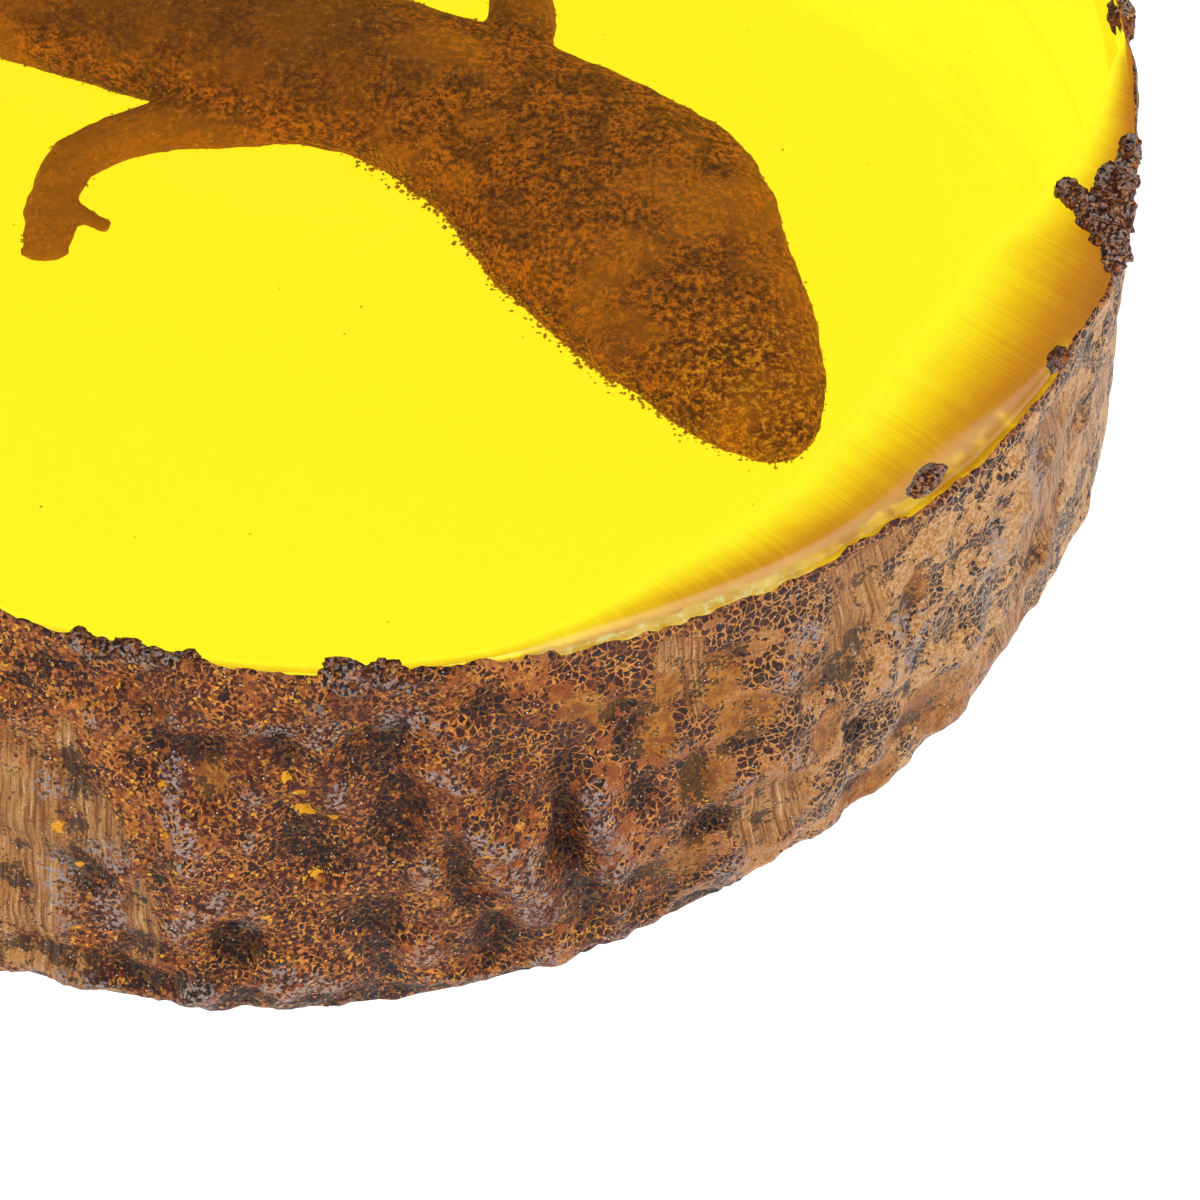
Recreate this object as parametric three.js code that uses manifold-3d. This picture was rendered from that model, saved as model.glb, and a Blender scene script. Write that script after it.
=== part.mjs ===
// A lizard sealed in a round slab of clear yellow resin, with a lumpy, crackled crust round its side.
// Millimetres. X runs to the right, Y to the back and Z up. The slab lies on its flat lower face,
// and the origin is on that face, under the middle of the slab.

import * as THREE from 'three';
import { mergeVertices } from 'three/addons/utils/BufferGeometryUtils.js';
import Module from 'manifold-3d';

const wasm = await Module();
wasm.setup();

// Slab
const THICKNESS = 27.5;
const FACE_CENTRE = [1.8, 1.0];
const SWELL = 0.9;
const FOOT_ROUNDING = [1.2, 2.0];
const GAP = 0.3;

// Radius of the slab's side at the upper face and at the foot, every 22.5 degrees anticlockwise from +X.
// The side flares towards the foot at the front left and is cut under at the front right.
const RIM_RADII = [44.8, 45.0, 45.2, 44.8, 44.2, 44.4, 44.9, 45.6, 45.8, 45.5, 45.2, 45.2, 45.4, 44.5, 45.0, 45.6];
const FOOT_RADII = [45.4, 46.5, 46.9, 46.6, 45.6, 46.1, 47.0, 48.4, 49.6, 49.9, 49.8, 49.4, 47.6, 45.1, 43.7, 43.7];

// Crust
const SKIN = 1.5;
const THINNEST_SKIN = 0.5;
const CRUST_SEGMENTS = 140;
const CORE_SEGMENTS = CRUST_SEGMENTS / 2;

// The edge of the upper face is ground to a slope at the front right
const BEVEL = { azimuth: -53, reach: 27, width: 2.4, drop: 1.1 };
const LEAST_SLOPE = 0.25;

// Plane that parts the clear resin, through the middle of the lizard: its height, and its rise along X
const PARTING_HEIGHT = 18.7;
const PARTING_RISE = 0.09;

// Lumps, folds and hollows of the crust: azimuth in degrees, height, half length round the side,
// half length up the side, how far out, and how far round the side it leans for each millimetre up
const RELIEF = [
  { at: [-101, 15], size: [2.0, 6.0], out: 0.9, lean: -0.25 },
  { at: [-106, 13], size: [1.9, 1.9], out: 0.5, lean: 0 },
  { at: [-108, 9], size: [3.0, 8.0], out: -0.5, lean: 0 },
  { at: [-101, 9], size: [1.6, 2.6], out: 0.6, lean: 0 },
  { at: [-98, 6.5], size: [1.7, 2.2], out: -0.9, lean: 0 },
  { at: [-92.5, 15], size: [2.4, 4.4], out: -0.7, lean: 0.1 },
  { at: [-95.5, 4], size: [3.5, 3.0], out: 0.5, lean: 0 },
  { at: [-87.5, 14], size: [1.5, 9.0], out: -1.1, lean: 0.05 },
  { at: [-85, 13], size: [2.2, 8.0], out: 0.8, lean: -0.1 },
  { at: [-81.5, 9], size: [1.3, 6.0], out: -1.0, lean: -0.3 },
  { at: [-79, 11], size: [1.9, 5.5], out: 0.8, lean: -0.25 },
  { at: [-75.2, 12], size: [1.1, 4.6], out: -1.2, lean: -0.1 },
  { at: [-73, 12], size: [1.9, 4.6], out: 0.8, lean: -0.1 },
  { at: [-73.5, 22.5], size: [2.4, 1.8], out: 0.4, lean: 0 },
  { at: [-70, 5], size: [2.0, 3.0], out: -0.5, lean: 0 },
  { at: [-64.5, 9], size: [1.8, 2.3], out: -0.7, lean: 0 },
  { at: [-61, 14], size: [3.5, 5.0], out: 0.4, lean: 0 },
  { at: [-52, 20], size: [2.4, 5.0], out: -0.4, lean: 0 },
  { at: [-48, 14], size: [3.0, 6.0], out: 0.4, lean: 0 },
  { at: [-45, 7], size: [3.2, 3.0], out: -0.4, lean: 0 },
  { at: [-36, 17], size: [1.6, 8.0], out: 0.6, lean: 0.3 },
  { at: [-25, 14], size: [2.2, 9.0], out: -0.5, lean: 0.2 },
  { at: [-18, 22], size: [2.5, 4.0], out: 0.8, lean: 0 },
  { at: [-12, 12], size: [3.0, 6.0], out: 0.6, lean: 0 },
];

// The rest of the way round, the crust has folds and hollows by turns
const BACK_FOLDS = { from: 6, step: 11.5, count: 20, size: [2.4, 7.5], out: 0.75 };

// Knobs of crust that stand on the rim of the upper face: azimuth, radius, height and half sizes
const KNOBS = [
  { at: [-108, 44.9, 27.3], size: [1.0, 0.8, 0.9] },
  { at: [-103, 44.7, 27.3], size: [1.9, 0.9, 1.1] },
  { at: [-89, 44.8, 27.2], size: [1.7, 1.0, 1.5] },
  { at: [-86.8, 45.0, 27.0], size: [1.0, 0.8, 1.1] },
  { at: [-19, 44.9, 26.6], size: [1.4, 1.1, 1.3] },
  { at: [-16.5, 44.1, 26.8], size: [1.6, 1.4, 1.3] },
  { at: [-14.2, 42.6, 27.0], size: [1.0, 1.6, 0.9] },
  { at: [-11.4, 43.6, 27.0], size: [1.1, 1.3, 1.1] },
  { at: [-8.2, 44.5, 27.0], size: [1.4, 0.9, 1.1] },
  { at: [8, 44.8, 27.0], size: [1.9, 0.8, 0.9] },
  { at: [47, 44.9, 27.2], size: [1.6, 1.0, 1.2] },
  { at: [86, 44.0, 27.2], size: [1.3, 0.9, 0.9] },
  { at: [124, 44.5, 27.1], size: [2.0, 1.0, 1.1] },
  { at: [168, 45.6, 27.2], size: [1.5, 0.9, 1.0] },
  { at: [-146, 45.2, 27.2], size: [1.3, 0.9, 1.0] },
];
const KNOB_SIDES = 7;
const KNOB_ROWS = 4;

// Burst bubbles in the edge of the upper face: azimuth, radius, height, half sizes and turn in degrees
const BUBBLES = [
  { at: [-45.4, 44.0, 27.0], size: [1.3, 0.7, 1.0], turn: 95 },
  { at: [-28.6, 44.7, 27.1], size: [0.8, 1.3, 1.2], turn: 30 },
];

// Lizard: each station is [x, y, half width, half height] along the middle line
const BODY = [
  [25.3, -25.6, 1.3, 0.9],
  [25.1, -24.2, 2.7, 1.7],
  [24.0, -21.4, 4.4, 2.6],
  [21.9, -16.8, 6.1, 3.5],
  [19.4, -12.3, 7.5, 4.1],
  [16.8, -7.1, 8.8, 4.4],
  [14.3, -3.8, 8.4, 4.2],
  [10.4, 0.2, 7.3, 3.9],
  [4.3, 4.4, 6.3, 4.4],
  [-4.0, 8.0, 6.3, 5.0],
  [-13.0, 12.0, 6.4, 5.0],
  [-19.4, 15.0, 6.3, 4.8],
  [-23.9, 18.2, 5.6, 4.3],
  [-26.8, 22.2, 4.5, 3.6],
  [-27.4, 26.0, 3.3, 2.8],
  [-26.2, 29.7, 2.6, 2.3],
  [-22.6, 33.4, 2.2, 2.0],
  [-16.0, 36.8, 1.8, 1.6],
  [-8.0, 38.8, 1.4, 1.3],
  [0.0, 39.1, 1.1, 1.0],
  [7.0, 38.1, 0.8, 0.8],
  [12.0, 36.3, 0.5, 0.5],
];
const EYES = [
  { at: [24.5, -13.6], size: 2.0, rise: 1.4 },
  { at: [16.6, -18.0], size: 2.0, rise: 1.4 },
];
const LIMBS = [
  {
    line: [
      [1.0, 3.6, 3.2, 2.4],
      [-6.0, 2.6, 2.4, 2.1],
      [-11.0, 1.9, 1.9, 1.8],
      [-15.4, -0.2, 1.7, 1.6],
      [-16.7, -3.2, 1.5, 1.4],
      [-16.8, -5.4, 1.6, 1.2],
    ],
    toes: { heading: -93, spread: 16, length: 2.7, thick: 0.5, count: 4 },
  },
  {
    line: [
      [8.6, 4.0, 3.0, 2.4],
      [10.5, 9.0, 2.2, 2.1],
      [10.5, 13.0, 1.9, 1.8],
      [11.4, 16.8, 1.6, 1.6],
      [14.6, 19.4, 1.3, 1.3],
      [17.0, 21.0, 1.9, 1.2],
    ],
    toes: { heading: 32, spread: 95, length: 3.8, thick: 0.5, count: 5 },
  },
  {
    line: [
      [-24.0, 18.4, 3.2, 2.8],
      [-28.6, 13.4, 2.9, 2.5],
      [-32.2, 8.2, 2.4, 2.0],
      [-32.6, 3.6, 1.7, 1.6],
      [-32.2, -1.6, 1.5, 1.3],
      [-32.4, -4.8, 2.0, 1.2],
    ],
    toes: { heading: -92, spread: 105, length: 4.4, thick: 0.52, count: 5 },
  },
  {
    line: [
      [-25.0, 21.0, 3.2, 2.8],
      [-20.0, 25.0, 2.8, 2.4],
      [-14.6, 27.6, 2.3, 2.0],
      [-10.0, 26.3, 1.7, 1.6],
      [-4.8, 25.2, 1.5, 1.3],
      [-1.8, 25.8, 2.0, 1.2],
    ],
    toes: { heading: 12, spread: 105, length: 4.4, thick: 0.52, count: 5 },
  },
];
const THUMB = [
  [-16.0, -4.4, 0.8, 0.7],
  [-13.4, -6.2, 0.45, 0.5],
];
const BODY_SIDES = 10;
const LIMB_SIDES = 6;
const TOE_SIDES = 5;
const TOE_ROOT = 0.5;
const POCKET_CLEARANCE = 0.35;

const radians = THREE.MathUtils.degToRad;
const lerp = THREE.MathUtils.lerp;
const clamp = THREE.MathUtils.clamp;

// Difference between two azimuths in degrees, from -180 to 180
function turnBetween(a, b) {
  return ((((a - b) % 360) + 540) % 360) - 180;
}

// Value at an azimuth on a smooth closed curve through evenly spaced values
function around(values, azimuth) {
  const count = values.length;
  const place = ((((azimuth % 360) + 360) % 360) / 360) * count;
  const start = Math.floor(place);
  const t = place - start;
  const [a, b, c, d] = [-1, 0, 1, 2].map((step) => values[(start + step + count) % count]);
  return b + 0.5 * t * (c - a + t * (2 * a - 5 * b + 4 * c - d + t * (3 * (b - c) + d - a)));
}

// Radius of a straight line up the side, from the foot to the rim
function straightRadius(azimuth, z) {
  return lerp(around(FOOT_RADII, azimuth), around(RIM_RADII, azimuth), z / THICKNESS);
}

// Radius of the side without its lumps
function sideRadius(azimuth, z) {
  return straightRadius(azimuth, z) + SWELL * Math.sin((Math.PI * z) / THICKNESS);
}

// How much of the ground slope there is at an azimuth, from 0 to 1
function bevelShare(azimuth) {
  const off = turnBetween(azimuth, BEVEL.azimuth) / BEVEL.reach;
  return THREE.MathUtils.smoothstep(1.15 - Math.abs(off), 0, 0.45);
}

function rimHeight(azimuth) {
  return THICKNESS - BEVEL.drop * bevelShare(azimuth);
}

function partingHeight(x) {
  return PARTING_HEIGHT + PARTING_RISE * x;
}

// Small unevenness of the crust all the way round, as crossing waves of unlike lengths
function roughness(azimuth, z) {
  const a = radians(azimuth);
  const broad = Math.sin(11 * a + 0.22 * z + 1.3) * Math.sin(7 * a - 0.16 * z + 0.4);
  const middle = Math.sin(29 * a - 0.31 * z) * Math.sin(17 * a + 0.55 * z + 2.1);
  const fine = Math.sin(53 * a + 0.9 * z + 0.7) * Math.sin(0.8 * z - 23 * a);
  return 0.36 * broad + 0.36 * middle + 0.22 * fine;
}

const backFolds = Array.from({ length: BACK_FOLDS.count }, (_, n) => ({
  at: [BACK_FOLDS.from + BACK_FOLDS.step * n, 9 + 3 * (n % 4)],
  size: BACK_FOLDS.size,
  out: BACK_FOLDS.out * (n % 2 ? -1 : 1),
  lean: 0.12 * ((n % 3) - 1),
}));
const allRelief = [...RELIEF, ...backFolds];

// How far the crust stands out from the plain side
function crustRelief(azimuth, z) {
  let out = roughness(azimuth, z);
  for (const { at, size, out: height, lean } of allRelief) {
    const along = radians(turnBetween(azimuth, at[0])) * RIM_RADII[0] - lean * (z - at[1]);
    const up = z - at[1];
    out += height * Math.exp(-((along / size[0]) ** 2) - (up / size[1]) ** 2);
  }
  const nearFoot = clamp(1 - z / FOOT_ROUNDING[1], 0, 1);
  return Math.max(out - FOOT_ROUNDING[0] * nearFoot ** 2, THINNEST_SKIN - SKIN);
}

// Deletes a geometry's normals and uvs, welds its vertices and drops its empty triangles
function weld(geometry) {
  geometry.deleteAttribute('normal');
  geometry.deleteAttribute('uv');
  const welded = mergeVertices(geometry, 1e-4);
  const corners = welded.index.array;
  const kept = [];
  for (let i = 0; i < corners.length; i += 3) {
    const [a, b, c] = corners.slice(i, i + 3);
    if (a !== b && b !== c && c !== a) {
      kept.push(a, b, c);
    }
  }
  welded.setIndex(kept);
  return welded;
}

function toSolid(geometry) {
  const welded = weld(geometry);
  const vertProperties = new Float32Array(welded.attributes.position.array);
  const triVerts = new Uint32Array(welded.index.array);
  return new wasm.Manifold(new wasm.Mesh({ numProp: 3, vertProperties, triVerts }));
}

function toGeometry(solid) {
  const mesh = solid.getMesh();
  const geometry = new THREE.BufferGeometry();
  geometry.setAttribute('position', new THREE.BufferAttribute(mesh.vertProperties, 3));
  geometry.setIndex(new THREE.BufferAttribute(mesh.triVerts, 1));
  return geometry;
}

// A body turned about the slab's axis from a profile of numbered corners. place(corner, azimuth)
// gives each corner's radius and height there, and a radius of zero is on the axis.
function turned(corners, onAxis, segments, place) {
  const profile = corners.map((corner, i) => new THREE.Vector2(onAxis.includes(corner) ? 0 : 1, i));
  const geometry = new THREE.LatheGeometry(profile, segments);
  const position = geometry.attributes.position;
  for (let i = 0; i < position.count; i += 1) {
    const column = Math.floor(i / corners.length) % segments;
    const corner = corners[i % corners.length];
    const azimuth = (column / segments) * 360;
    const [radius, z] = place(corner, azimuth);
    const turn = radians(azimuth);
    const x = FACE_CENTRE[0] + radius * Math.cos(turn);
    const y = FACE_CENTRE[1] + radius * Math.sin(turn);
    position.setXYZ(i, x, y, typeof z === 'function' ? z(x) : z);
  }
  return toSolid(geometry);
}

// A ball with its own half sizes round, across and up the rim
function rimBall({ at, size, turn = 0 }, extra) {
  const [azimuth, radius, z] = at;
  const [round, across, high] = size;
  const ball = new THREE.SphereGeometry(1, KNOB_SIDES, KNOB_ROWS);
  ball.rotateX(Math.PI / 2);
  ball.scale(across + extra, round + extra, high + extra);
  ball.rotateZ(radians(azimuth + turn));
  ball.translate(
    FACE_CENTRE[0] + radius * Math.cos(radians(azimuth)),
    FACE_CENTRE[1] + radius * Math.sin(radians(azimuth)),
    z,
  );
  return toSolid(ball);
}

function together(solids) {
  return solids.reduce((joined, solid) => joined.add(solid));
}

// The largest body of a cut solid, without the slivers that the cut left loose
function largest(solid) {
  return solid.decompose().reduce((best, body) => (body.volume() > best.volume() ? body : best));
}

// Crust: a ring with a rough outer side, closed over the rim and under the foot
const OUTER_HEIGHTS = [0, 1.6, 4.0, 7.0, 10.2, 13.6, 17.0, 20.4, 23.6, 26.0];

function makeCrust() {
  const outer = OUTER_HEIGHTS.map((z) => ({ outside: true, z }));
  const rim = [{ outside: true, top: true }, { outside: false, top: true }];
  const corners = [...outer, ...rim, { outside: false, z: 0 }, outer[0]];
  const ring = turned(corners, [], CRUST_SEGMENTS, (corner, azimuth) => {
    const z = corner.top ? rimHeight(azimuth) : Math.min(corner.z, rimHeight(azimuth) - 0.6);
    const radius = corner.outside
      ? sideRadius(azimuth, z) + crustRelief(azimuth, z)
      : straightRadius(azimuth, z) - SKIN;
    return [radius, z];
  });
  const knobs = KNOBS.map((knob) => rimBall(knob, 0));
  const bubbles = BUBBLES.map((bubble) => rimBall(bubble, 0));
  return largest(ring.add(together(knobs)).subtract(together(bubbles)));
}

// The clear resin inside the crust, parted in two through the lizard
function coreRadius(azimuth, z) {
  return straightRadius(azimuth, z) - SKIN - GAP;
}

// Radius of the parted edge, where the side meets the parting plane
function partedRadius(azimuth) {
  const reach = coreRadius(azimuth, PARTING_HEIGHT) * Math.cos(radians(azimuth));
  return coreRadius(azimuth, partingHeight(FACE_CENTRE[0] + reach));
}

function makeLowerCore() {
  const parting = (x) => partingHeight(x) - GAP / 2;
  const corners = ['foot middle', 'foot edge', 'parting edge', 'parting middle'];
  return turned(corners, ['foot middle', 'parting middle'], CORE_SEGMENTS, (corner, azimuth) => {
    if (corner === 'foot middle') return [0, 0];
    if (corner === 'parting middle') return [0, parting];
    if (corner === 'parting edge') return [partedRadius(azimuth), parting];
    return [coreRadius(azimuth, 0), 0];
  });
}

function makeUpperCore() {
  const parting = (x) => partingHeight(x) + GAP / 2;
  const corners = ['parting middle', 'parting edge', 'slope foot', 'slope head', 'face middle'];
  return turned(corners, ['parting middle', 'face middle'], CORE_SEGMENTS, (corner, azimuth) => {
    const rim = Math.min(rimHeight(azimuth), THICKNESS - LEAST_SLOPE);
    const edge = coreRadius(azimuth, rim);
    const slope = lerp(LEAST_SLOPE, BEVEL.width, bevelShare(azimuth));
    if (corner === 'parting middle') return [0, parting];
    if (corner === 'parting edge') return [partedRadius(azimuth), parting];
    if (corner === 'slope foot') return [edge, rim];
    if (corner === 'slope head') return [edge - slope, THICKNESS];
    return [0, THICKNESS];
  });
}

// Lizard: rings strung along a line of stations, made larger all over by a clearance
function strung(stations, sides, clearance) {
  const last = stations.length - 1;
  const geometry = new THREE.CylinderGeometry(1, 1, last, sides, last);
  const position = geometry.attributes.position;
  for (let i = 0; i < position.count; i += 1) {
    const [across, along, up] = [position.getX(i), position.getY(i), position.getZ(i)];
    const n = clamp(Math.round(last / 2 - along), 0, last);
    const [x, y, halfWidth, halfHeight] = stations[n];
    const before = stations[Math.max(n - 1, 0)];
    const after = stations[Math.min(n + 1, last)];
    const heading = new THREE.Vector2(after[0] - before[0], after[1] - before[1]).normalize();
    const beyond = (n === last ? clearance : 0) - (n === 0 ? clearance : 0);
    const side = across * (halfWidth + clearance);
    const px = x + heading.x * beyond - heading.y * side;
    const py = y + heading.y * beyond + heading.x * side;
    position.setXYZ(i, px, py, partingHeight(px) + up * (halfHeight + clearance));
  }
  return toSolid(geometry);
}

// Toes that fan out from the width of a limb's end
function makeToes({ line, toes }, clearance) {
  const [x, y, palm] = line[line.length - 1];
  const ahead = radians(toes.heading);
  return Array.from({ length: toes.count }, (_, n) => {
    const share = n / (toes.count - 1) - 0.5;
    const turn = ahead + radians(toes.spread * share);
    const reach = toes.length * (1 - 0.6 * share * share);
    const abreast = 1.5 * palm * share;
    const root = [
      x - abreast * Math.sin(ahead) - TOE_ROOT * Math.cos(turn),
      y + abreast * Math.cos(ahead) - TOE_ROOT * Math.sin(turn),
    ];
    const tip = [root[0] + reach * Math.cos(turn), root[1] + reach * Math.sin(turn)];
    return strung([[...root, toes.thick, toes.thick], [...tip, toes.thick, toes.thick]], TOE_SIDES, clearance);
  });
}

function makeEye({ at, size, rise }, clearance) {
  const eye = new THREE.SphereGeometry(size + clearance, KNOB_SIDES, KNOB_ROWS);
  eye.rotateX(Math.PI / 2);
  eye.translate(at[0], at[1], partingHeight(at[0]) + rise);
  return toSolid(eye);
}

function makeLizard(clearance) {
  return together([
    strung(BODY, BODY_SIDES, clearance),
    strung(THUMB, TOE_SIDES, clearance),
    ...EYES.map((eye) => makeEye(eye, clearance)),
    ...LIMBS.map((limb) => strung(limb.line, LIMB_SIDES, clearance)),
    ...LIMBS.flatMap((limb) => makeToes(limb, clearance)),
  ]);
}

function named(name, solid, finish) {
  const mesh = new THREE.Mesh(toGeometry(solid), new THREE.MeshStandardMaterial(finish));
  mesh.name = name;
  return mesh;
}

const pocket = makeLizard(POCKET_CLEARANCE);
const roomForKnobs = together(KNOBS.map((knob) => rimBall(knob, GAP)));
const bubbles = together(BUBBLES.map((bubble) => rimBall(bubble, 0)));

const lower = makeLowerCore().subtract(pocket);
const upper = makeUpperCore().subtract(pocket).subtract(roomForKnobs).subtract(bubbles);

const clearYellow = { color: '#f7d414', roughness: 0.15, metalness: 0, transparent: true, opacity: 0.4 };
const driedSkin = { color: '#5e3a1e', roughness: 0.7, metalness: 0 };
const crackledBrown = { color: '#6b3a20', roughness: 0.6, metalness: 0 };

const group = new THREE.Group();
group.add(named('resin_lower', lower, clearYellow));
group.add(named('resin_upper', largest(upper), clearYellow));
group.add(named('lizard', makeLizard(0), driedSkin));
group.add(named('crust', makeCrust(), crackledBrown));

export default group;
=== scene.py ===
"""A lizard sealed in a round slab of clear yellow resin with a crackled crust: the looks.

Lengths in this script are millimetres, and meshes are scaled to metres as they are made.
X runs to the right, Y to the back and Z up, as in the CAD frame. Azimuths are in degrees,
from +X towards +Y round the middle of the upper face.
"""

import math
import random

import bmesh
import bpy
import numpy as np
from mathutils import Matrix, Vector, noise


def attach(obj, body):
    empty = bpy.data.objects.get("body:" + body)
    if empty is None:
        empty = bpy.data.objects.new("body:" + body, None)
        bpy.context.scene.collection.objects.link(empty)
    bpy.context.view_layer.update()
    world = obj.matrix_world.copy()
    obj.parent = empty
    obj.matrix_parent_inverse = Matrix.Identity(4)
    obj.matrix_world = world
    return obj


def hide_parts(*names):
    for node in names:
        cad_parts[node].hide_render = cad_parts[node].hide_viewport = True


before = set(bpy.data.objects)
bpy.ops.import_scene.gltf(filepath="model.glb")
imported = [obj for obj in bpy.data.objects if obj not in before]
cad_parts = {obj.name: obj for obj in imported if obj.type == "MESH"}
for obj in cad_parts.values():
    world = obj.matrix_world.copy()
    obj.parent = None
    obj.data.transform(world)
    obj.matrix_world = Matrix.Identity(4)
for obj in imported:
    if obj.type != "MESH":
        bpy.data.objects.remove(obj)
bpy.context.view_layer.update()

MM = 0.001
SEED = 7

# Slab, as in the CAD model
THICKNESS = 27.5
FACE_CENTRE = (1.8, 1.0)
SWELL = 0.9
THINNEST_CUT = -1.0
FOOT_ROUNDING = (1.2, 2.0)
BEVEL_AZIMUTH = -53
BEVEL_REACH = 27
LEAST_SLOPE = 0.25
PARTING_HEIGHT = 18.7
PARTING_RISE = 0.09

# Radius of the slab's side at the upper face and at the foot, evenly spaced round it from +X
RIM_RADII = (
    44.8, 45.0, 45.2, 44.8, 44.2, 44.4, 44.9, 45.6,
    45.8, 45.5, 45.2, 45.2, 45.4, 44.5, 45.0, 45.6,
)
FOOT_RADII = (
    45.4, 46.5, 46.9, 46.6, 45.6, 46.1, 47.0, 48.4,
    49.6, 49.9, 49.8, 49.4, 47.6, 45.1, 43.7, 43.7,
)

# The ground slope at the right front is steeper than in the CAD model, and as wide at one place alone
BEVEL_WIDTH = 1.1
BEVEL_DROP = 1.4
BEVEL_END = 1.15
BEVEL_FADE = 0.45
DEEP_AZIMUTH = -43
DEEP_REACH = 7
DEEP_DROP = 0.35
DEEP_WIDTH = 1.5

# The right side is cut under a little more than in the CAD model
UNDERCUT = 1.3
UNDERCUT_AZIMUTH = -12
UNDERCUT_REACH = 22

# Waves of the crust, as in the CAD model: a height, and two waves that are multiplied, each with
# its count round the side, its turn for each millimetre up, and its phase
WAVES = (
    (0.36, (11, 0.22, 1.3), (7, -0.16, 0.4)),
    (0.36, (29, -0.31, 0.0), (17, 0.55, 2.1)),
    (0.22, (53, 0.9, 0.7), (-23, 0.8, 0.0)),
)

# Lumps, folds and hollows of the crust, as in the CAD model: azimuth, height, half length round
# the side and up it, how far out, and the lean round for each millimetre up
RELIEF = (
    (-101, 15, 2, 6, 0.9, -0.25),
    (-106, 13, 1.9, 1.9, 0.5, 0),
    (-108, 9, 3, 8, -0.5, 0),
    (-101, 9, 1.6, 2.6, 0.6, 0),
    (-98, 6.5, 1.7, 2.2, -0.9, 0),
    (-92.5, 15, 2.4, 4.4, -0.7, 0.1),
    (-95.5, 4, 3.5, 3, 0.5, 0),
    (-87.5, 14, 1.5, 9, -1.1, 0.05),
    (-85, 13, 2.2, 8, 0.8, -0.1),
    (-81.5, 9, 1.3, 6, -1, -0.3),
    (-79, 11, 1.9, 5.5, 0.8, -0.25),
    (-75.2, 12, 1.1, 4.6, -1.2, -0.1),
    (-73, 12, 1.9, 4.6, 0.8, -0.1),
    (-73.5, 22.5, 2.4, 1.8, 0.4, 0),
    (-70, 5, 2, 3, -0.5, 0),
    (-64.5, 9, 1.8, 2.3, -0.7, 0),
    (-61, 14, 3.5, 5, 0.4, 0),
    (-52, 20, 2.4, 5, -0.4, 0),
    (-48, 14, 3, 6, 0.4, 0),
    (-45, 7, 3.2, 3, -0.4, 0),
    (-36, 17, 1.6, 8, 0.6, 0.3),
    (-25, 14, 2.2, 9, -0.5, 0.2),
    (-18, 22, 2.5, 4, 0.8, 0),
    (-12, 12, 3, 6, 0.6, 0),
)

# Folds and hollows by turns the rest of the way round, as in the CAD model
BACK_FOLDS = 20
BACK_FOLD_START = 6
BACK_FOLD_STEP = 11.5
BACK_FOLD_SIZE = (2.4, 7.5)
BACK_FOLD_OUT = 0.75
BACK_FOLD_LEAN = 0.12


def smoothstep(x):
    t = np.clip(x, 0, 1)
    return t * t * (3 - 2 * t)


def curve(a, b, c, d, t):
    """Point between b and c on a smooth curve through evenly spaced points."""
    return b + 0.5 * t * (c - a + t * (2 * a - 5 * b + 4 * c - d + t * (3 * (b - c) + d - a)))


def around(values, azimuth):
    """Value at an azimuth on a smooth closed curve through evenly spaced values."""
    values = np.asarray(values, float)
    count = len(values)
    place = np.mod(azimuth, 360) / 360 * count
    start = np.floor(place).astype(int)
    neighbours = (values[(start + step) % count] for step in (-1, 0, 1, 2))
    return curve(*neighbours, place - start)


def turn_between(a, b):
    """Azimuth a as seen from b, from -180 to 180."""
    return np.mod(a - b + 180, 360) - 180


def arc(azimuth, start):
    """Length round the side from one azimuth to another."""
    return np.radians(turn_between(azimuth, start)) * RIM_RADII[0]


def bell(azimuth, middle, reach):
    """1 at an azimuth, falling smoothly away from it both ways."""
    return np.exp(-((turn_between(azimuth, middle) / reach) ** 2))


def side_radius(azimuth, z):
    """Radius of the slab's plain side, without the crust's relief."""
    share = z / THICKNESS
    straight = around(FOOT_RADII, azimuth) * (1 - share) + around(RIM_RADII, azimuth) * share
    swell = SWELL - UNDERCUT * bell(azimuth, UNDERCUT_AZIMUTH, UNDERCUT_REACH)
    return straight + swell * np.sin(np.pi * np.clip(share, 0, 1))


def bevel_share(azimuth):
    """1 along the ground slope at the right front, falling to 0 past its two ends."""
    off = np.abs(turn_between(azimuth, BEVEL_AZIMUTH)) / BEVEL_REACH
    return smoothstep((BEVEL_END - off) / BEVEL_FADE)


def rim_height(azimuth):
    deep = bell(azimuth, DEEP_AZIMUTH, DEEP_REACH)
    return THICKNESS - BEVEL_DROP * bevel_share(azimuth) - DEEP_DROP * deep


def top_slope(azimuth):
    """Width of the slope between the rim and the polished face."""
    plain = LEAST_SLOPE + (BEVEL_WIDTH - LEAST_SLOPE) * bevel_share(azimuth)
    return plain + DEEP_WIDTH * bell(azimuth, DEEP_AZIMUTH, DEEP_REACH)


def top_height(azimuth, inward):
    """Height of the upper face at a distance inward from the rim."""
    rim = rim_height(azimuth)
    share = np.clip(inward / top_slope(azimuth), 0, 1)
    return rim + (THICKNESS - rim) * np.sin(share * np.pi / 2)


def spot(azimuth, radius, z):
    """Points from azimuth, radius from the middle of the face, and height."""
    turn = np.radians(azimuth)
    x = FACE_CENTRE[0] + radius * np.cos(turn)
    y = FACE_CENTRE[1] + radius * np.sin(turn)
    return np.stack(np.broadcast_arrays(x, y, z), -1)


def distance(points, x, y):
    """Distance of points from a place, seen from above."""
    return np.hypot(points[:, 0] - x, points[:, 1] - y)


def oval(azimuth, z, at_azimuth, at_z, half_round, half_up, lean=0):
    """1 in the middle of an oval on the side, falling smoothly away from it."""
    along = arc(azimuth, at_azimuth) - lean * (z - at_z)
    return np.exp(-((along / half_round) ** 2) - ((z - at_z) / half_up) ** 2)


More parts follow.
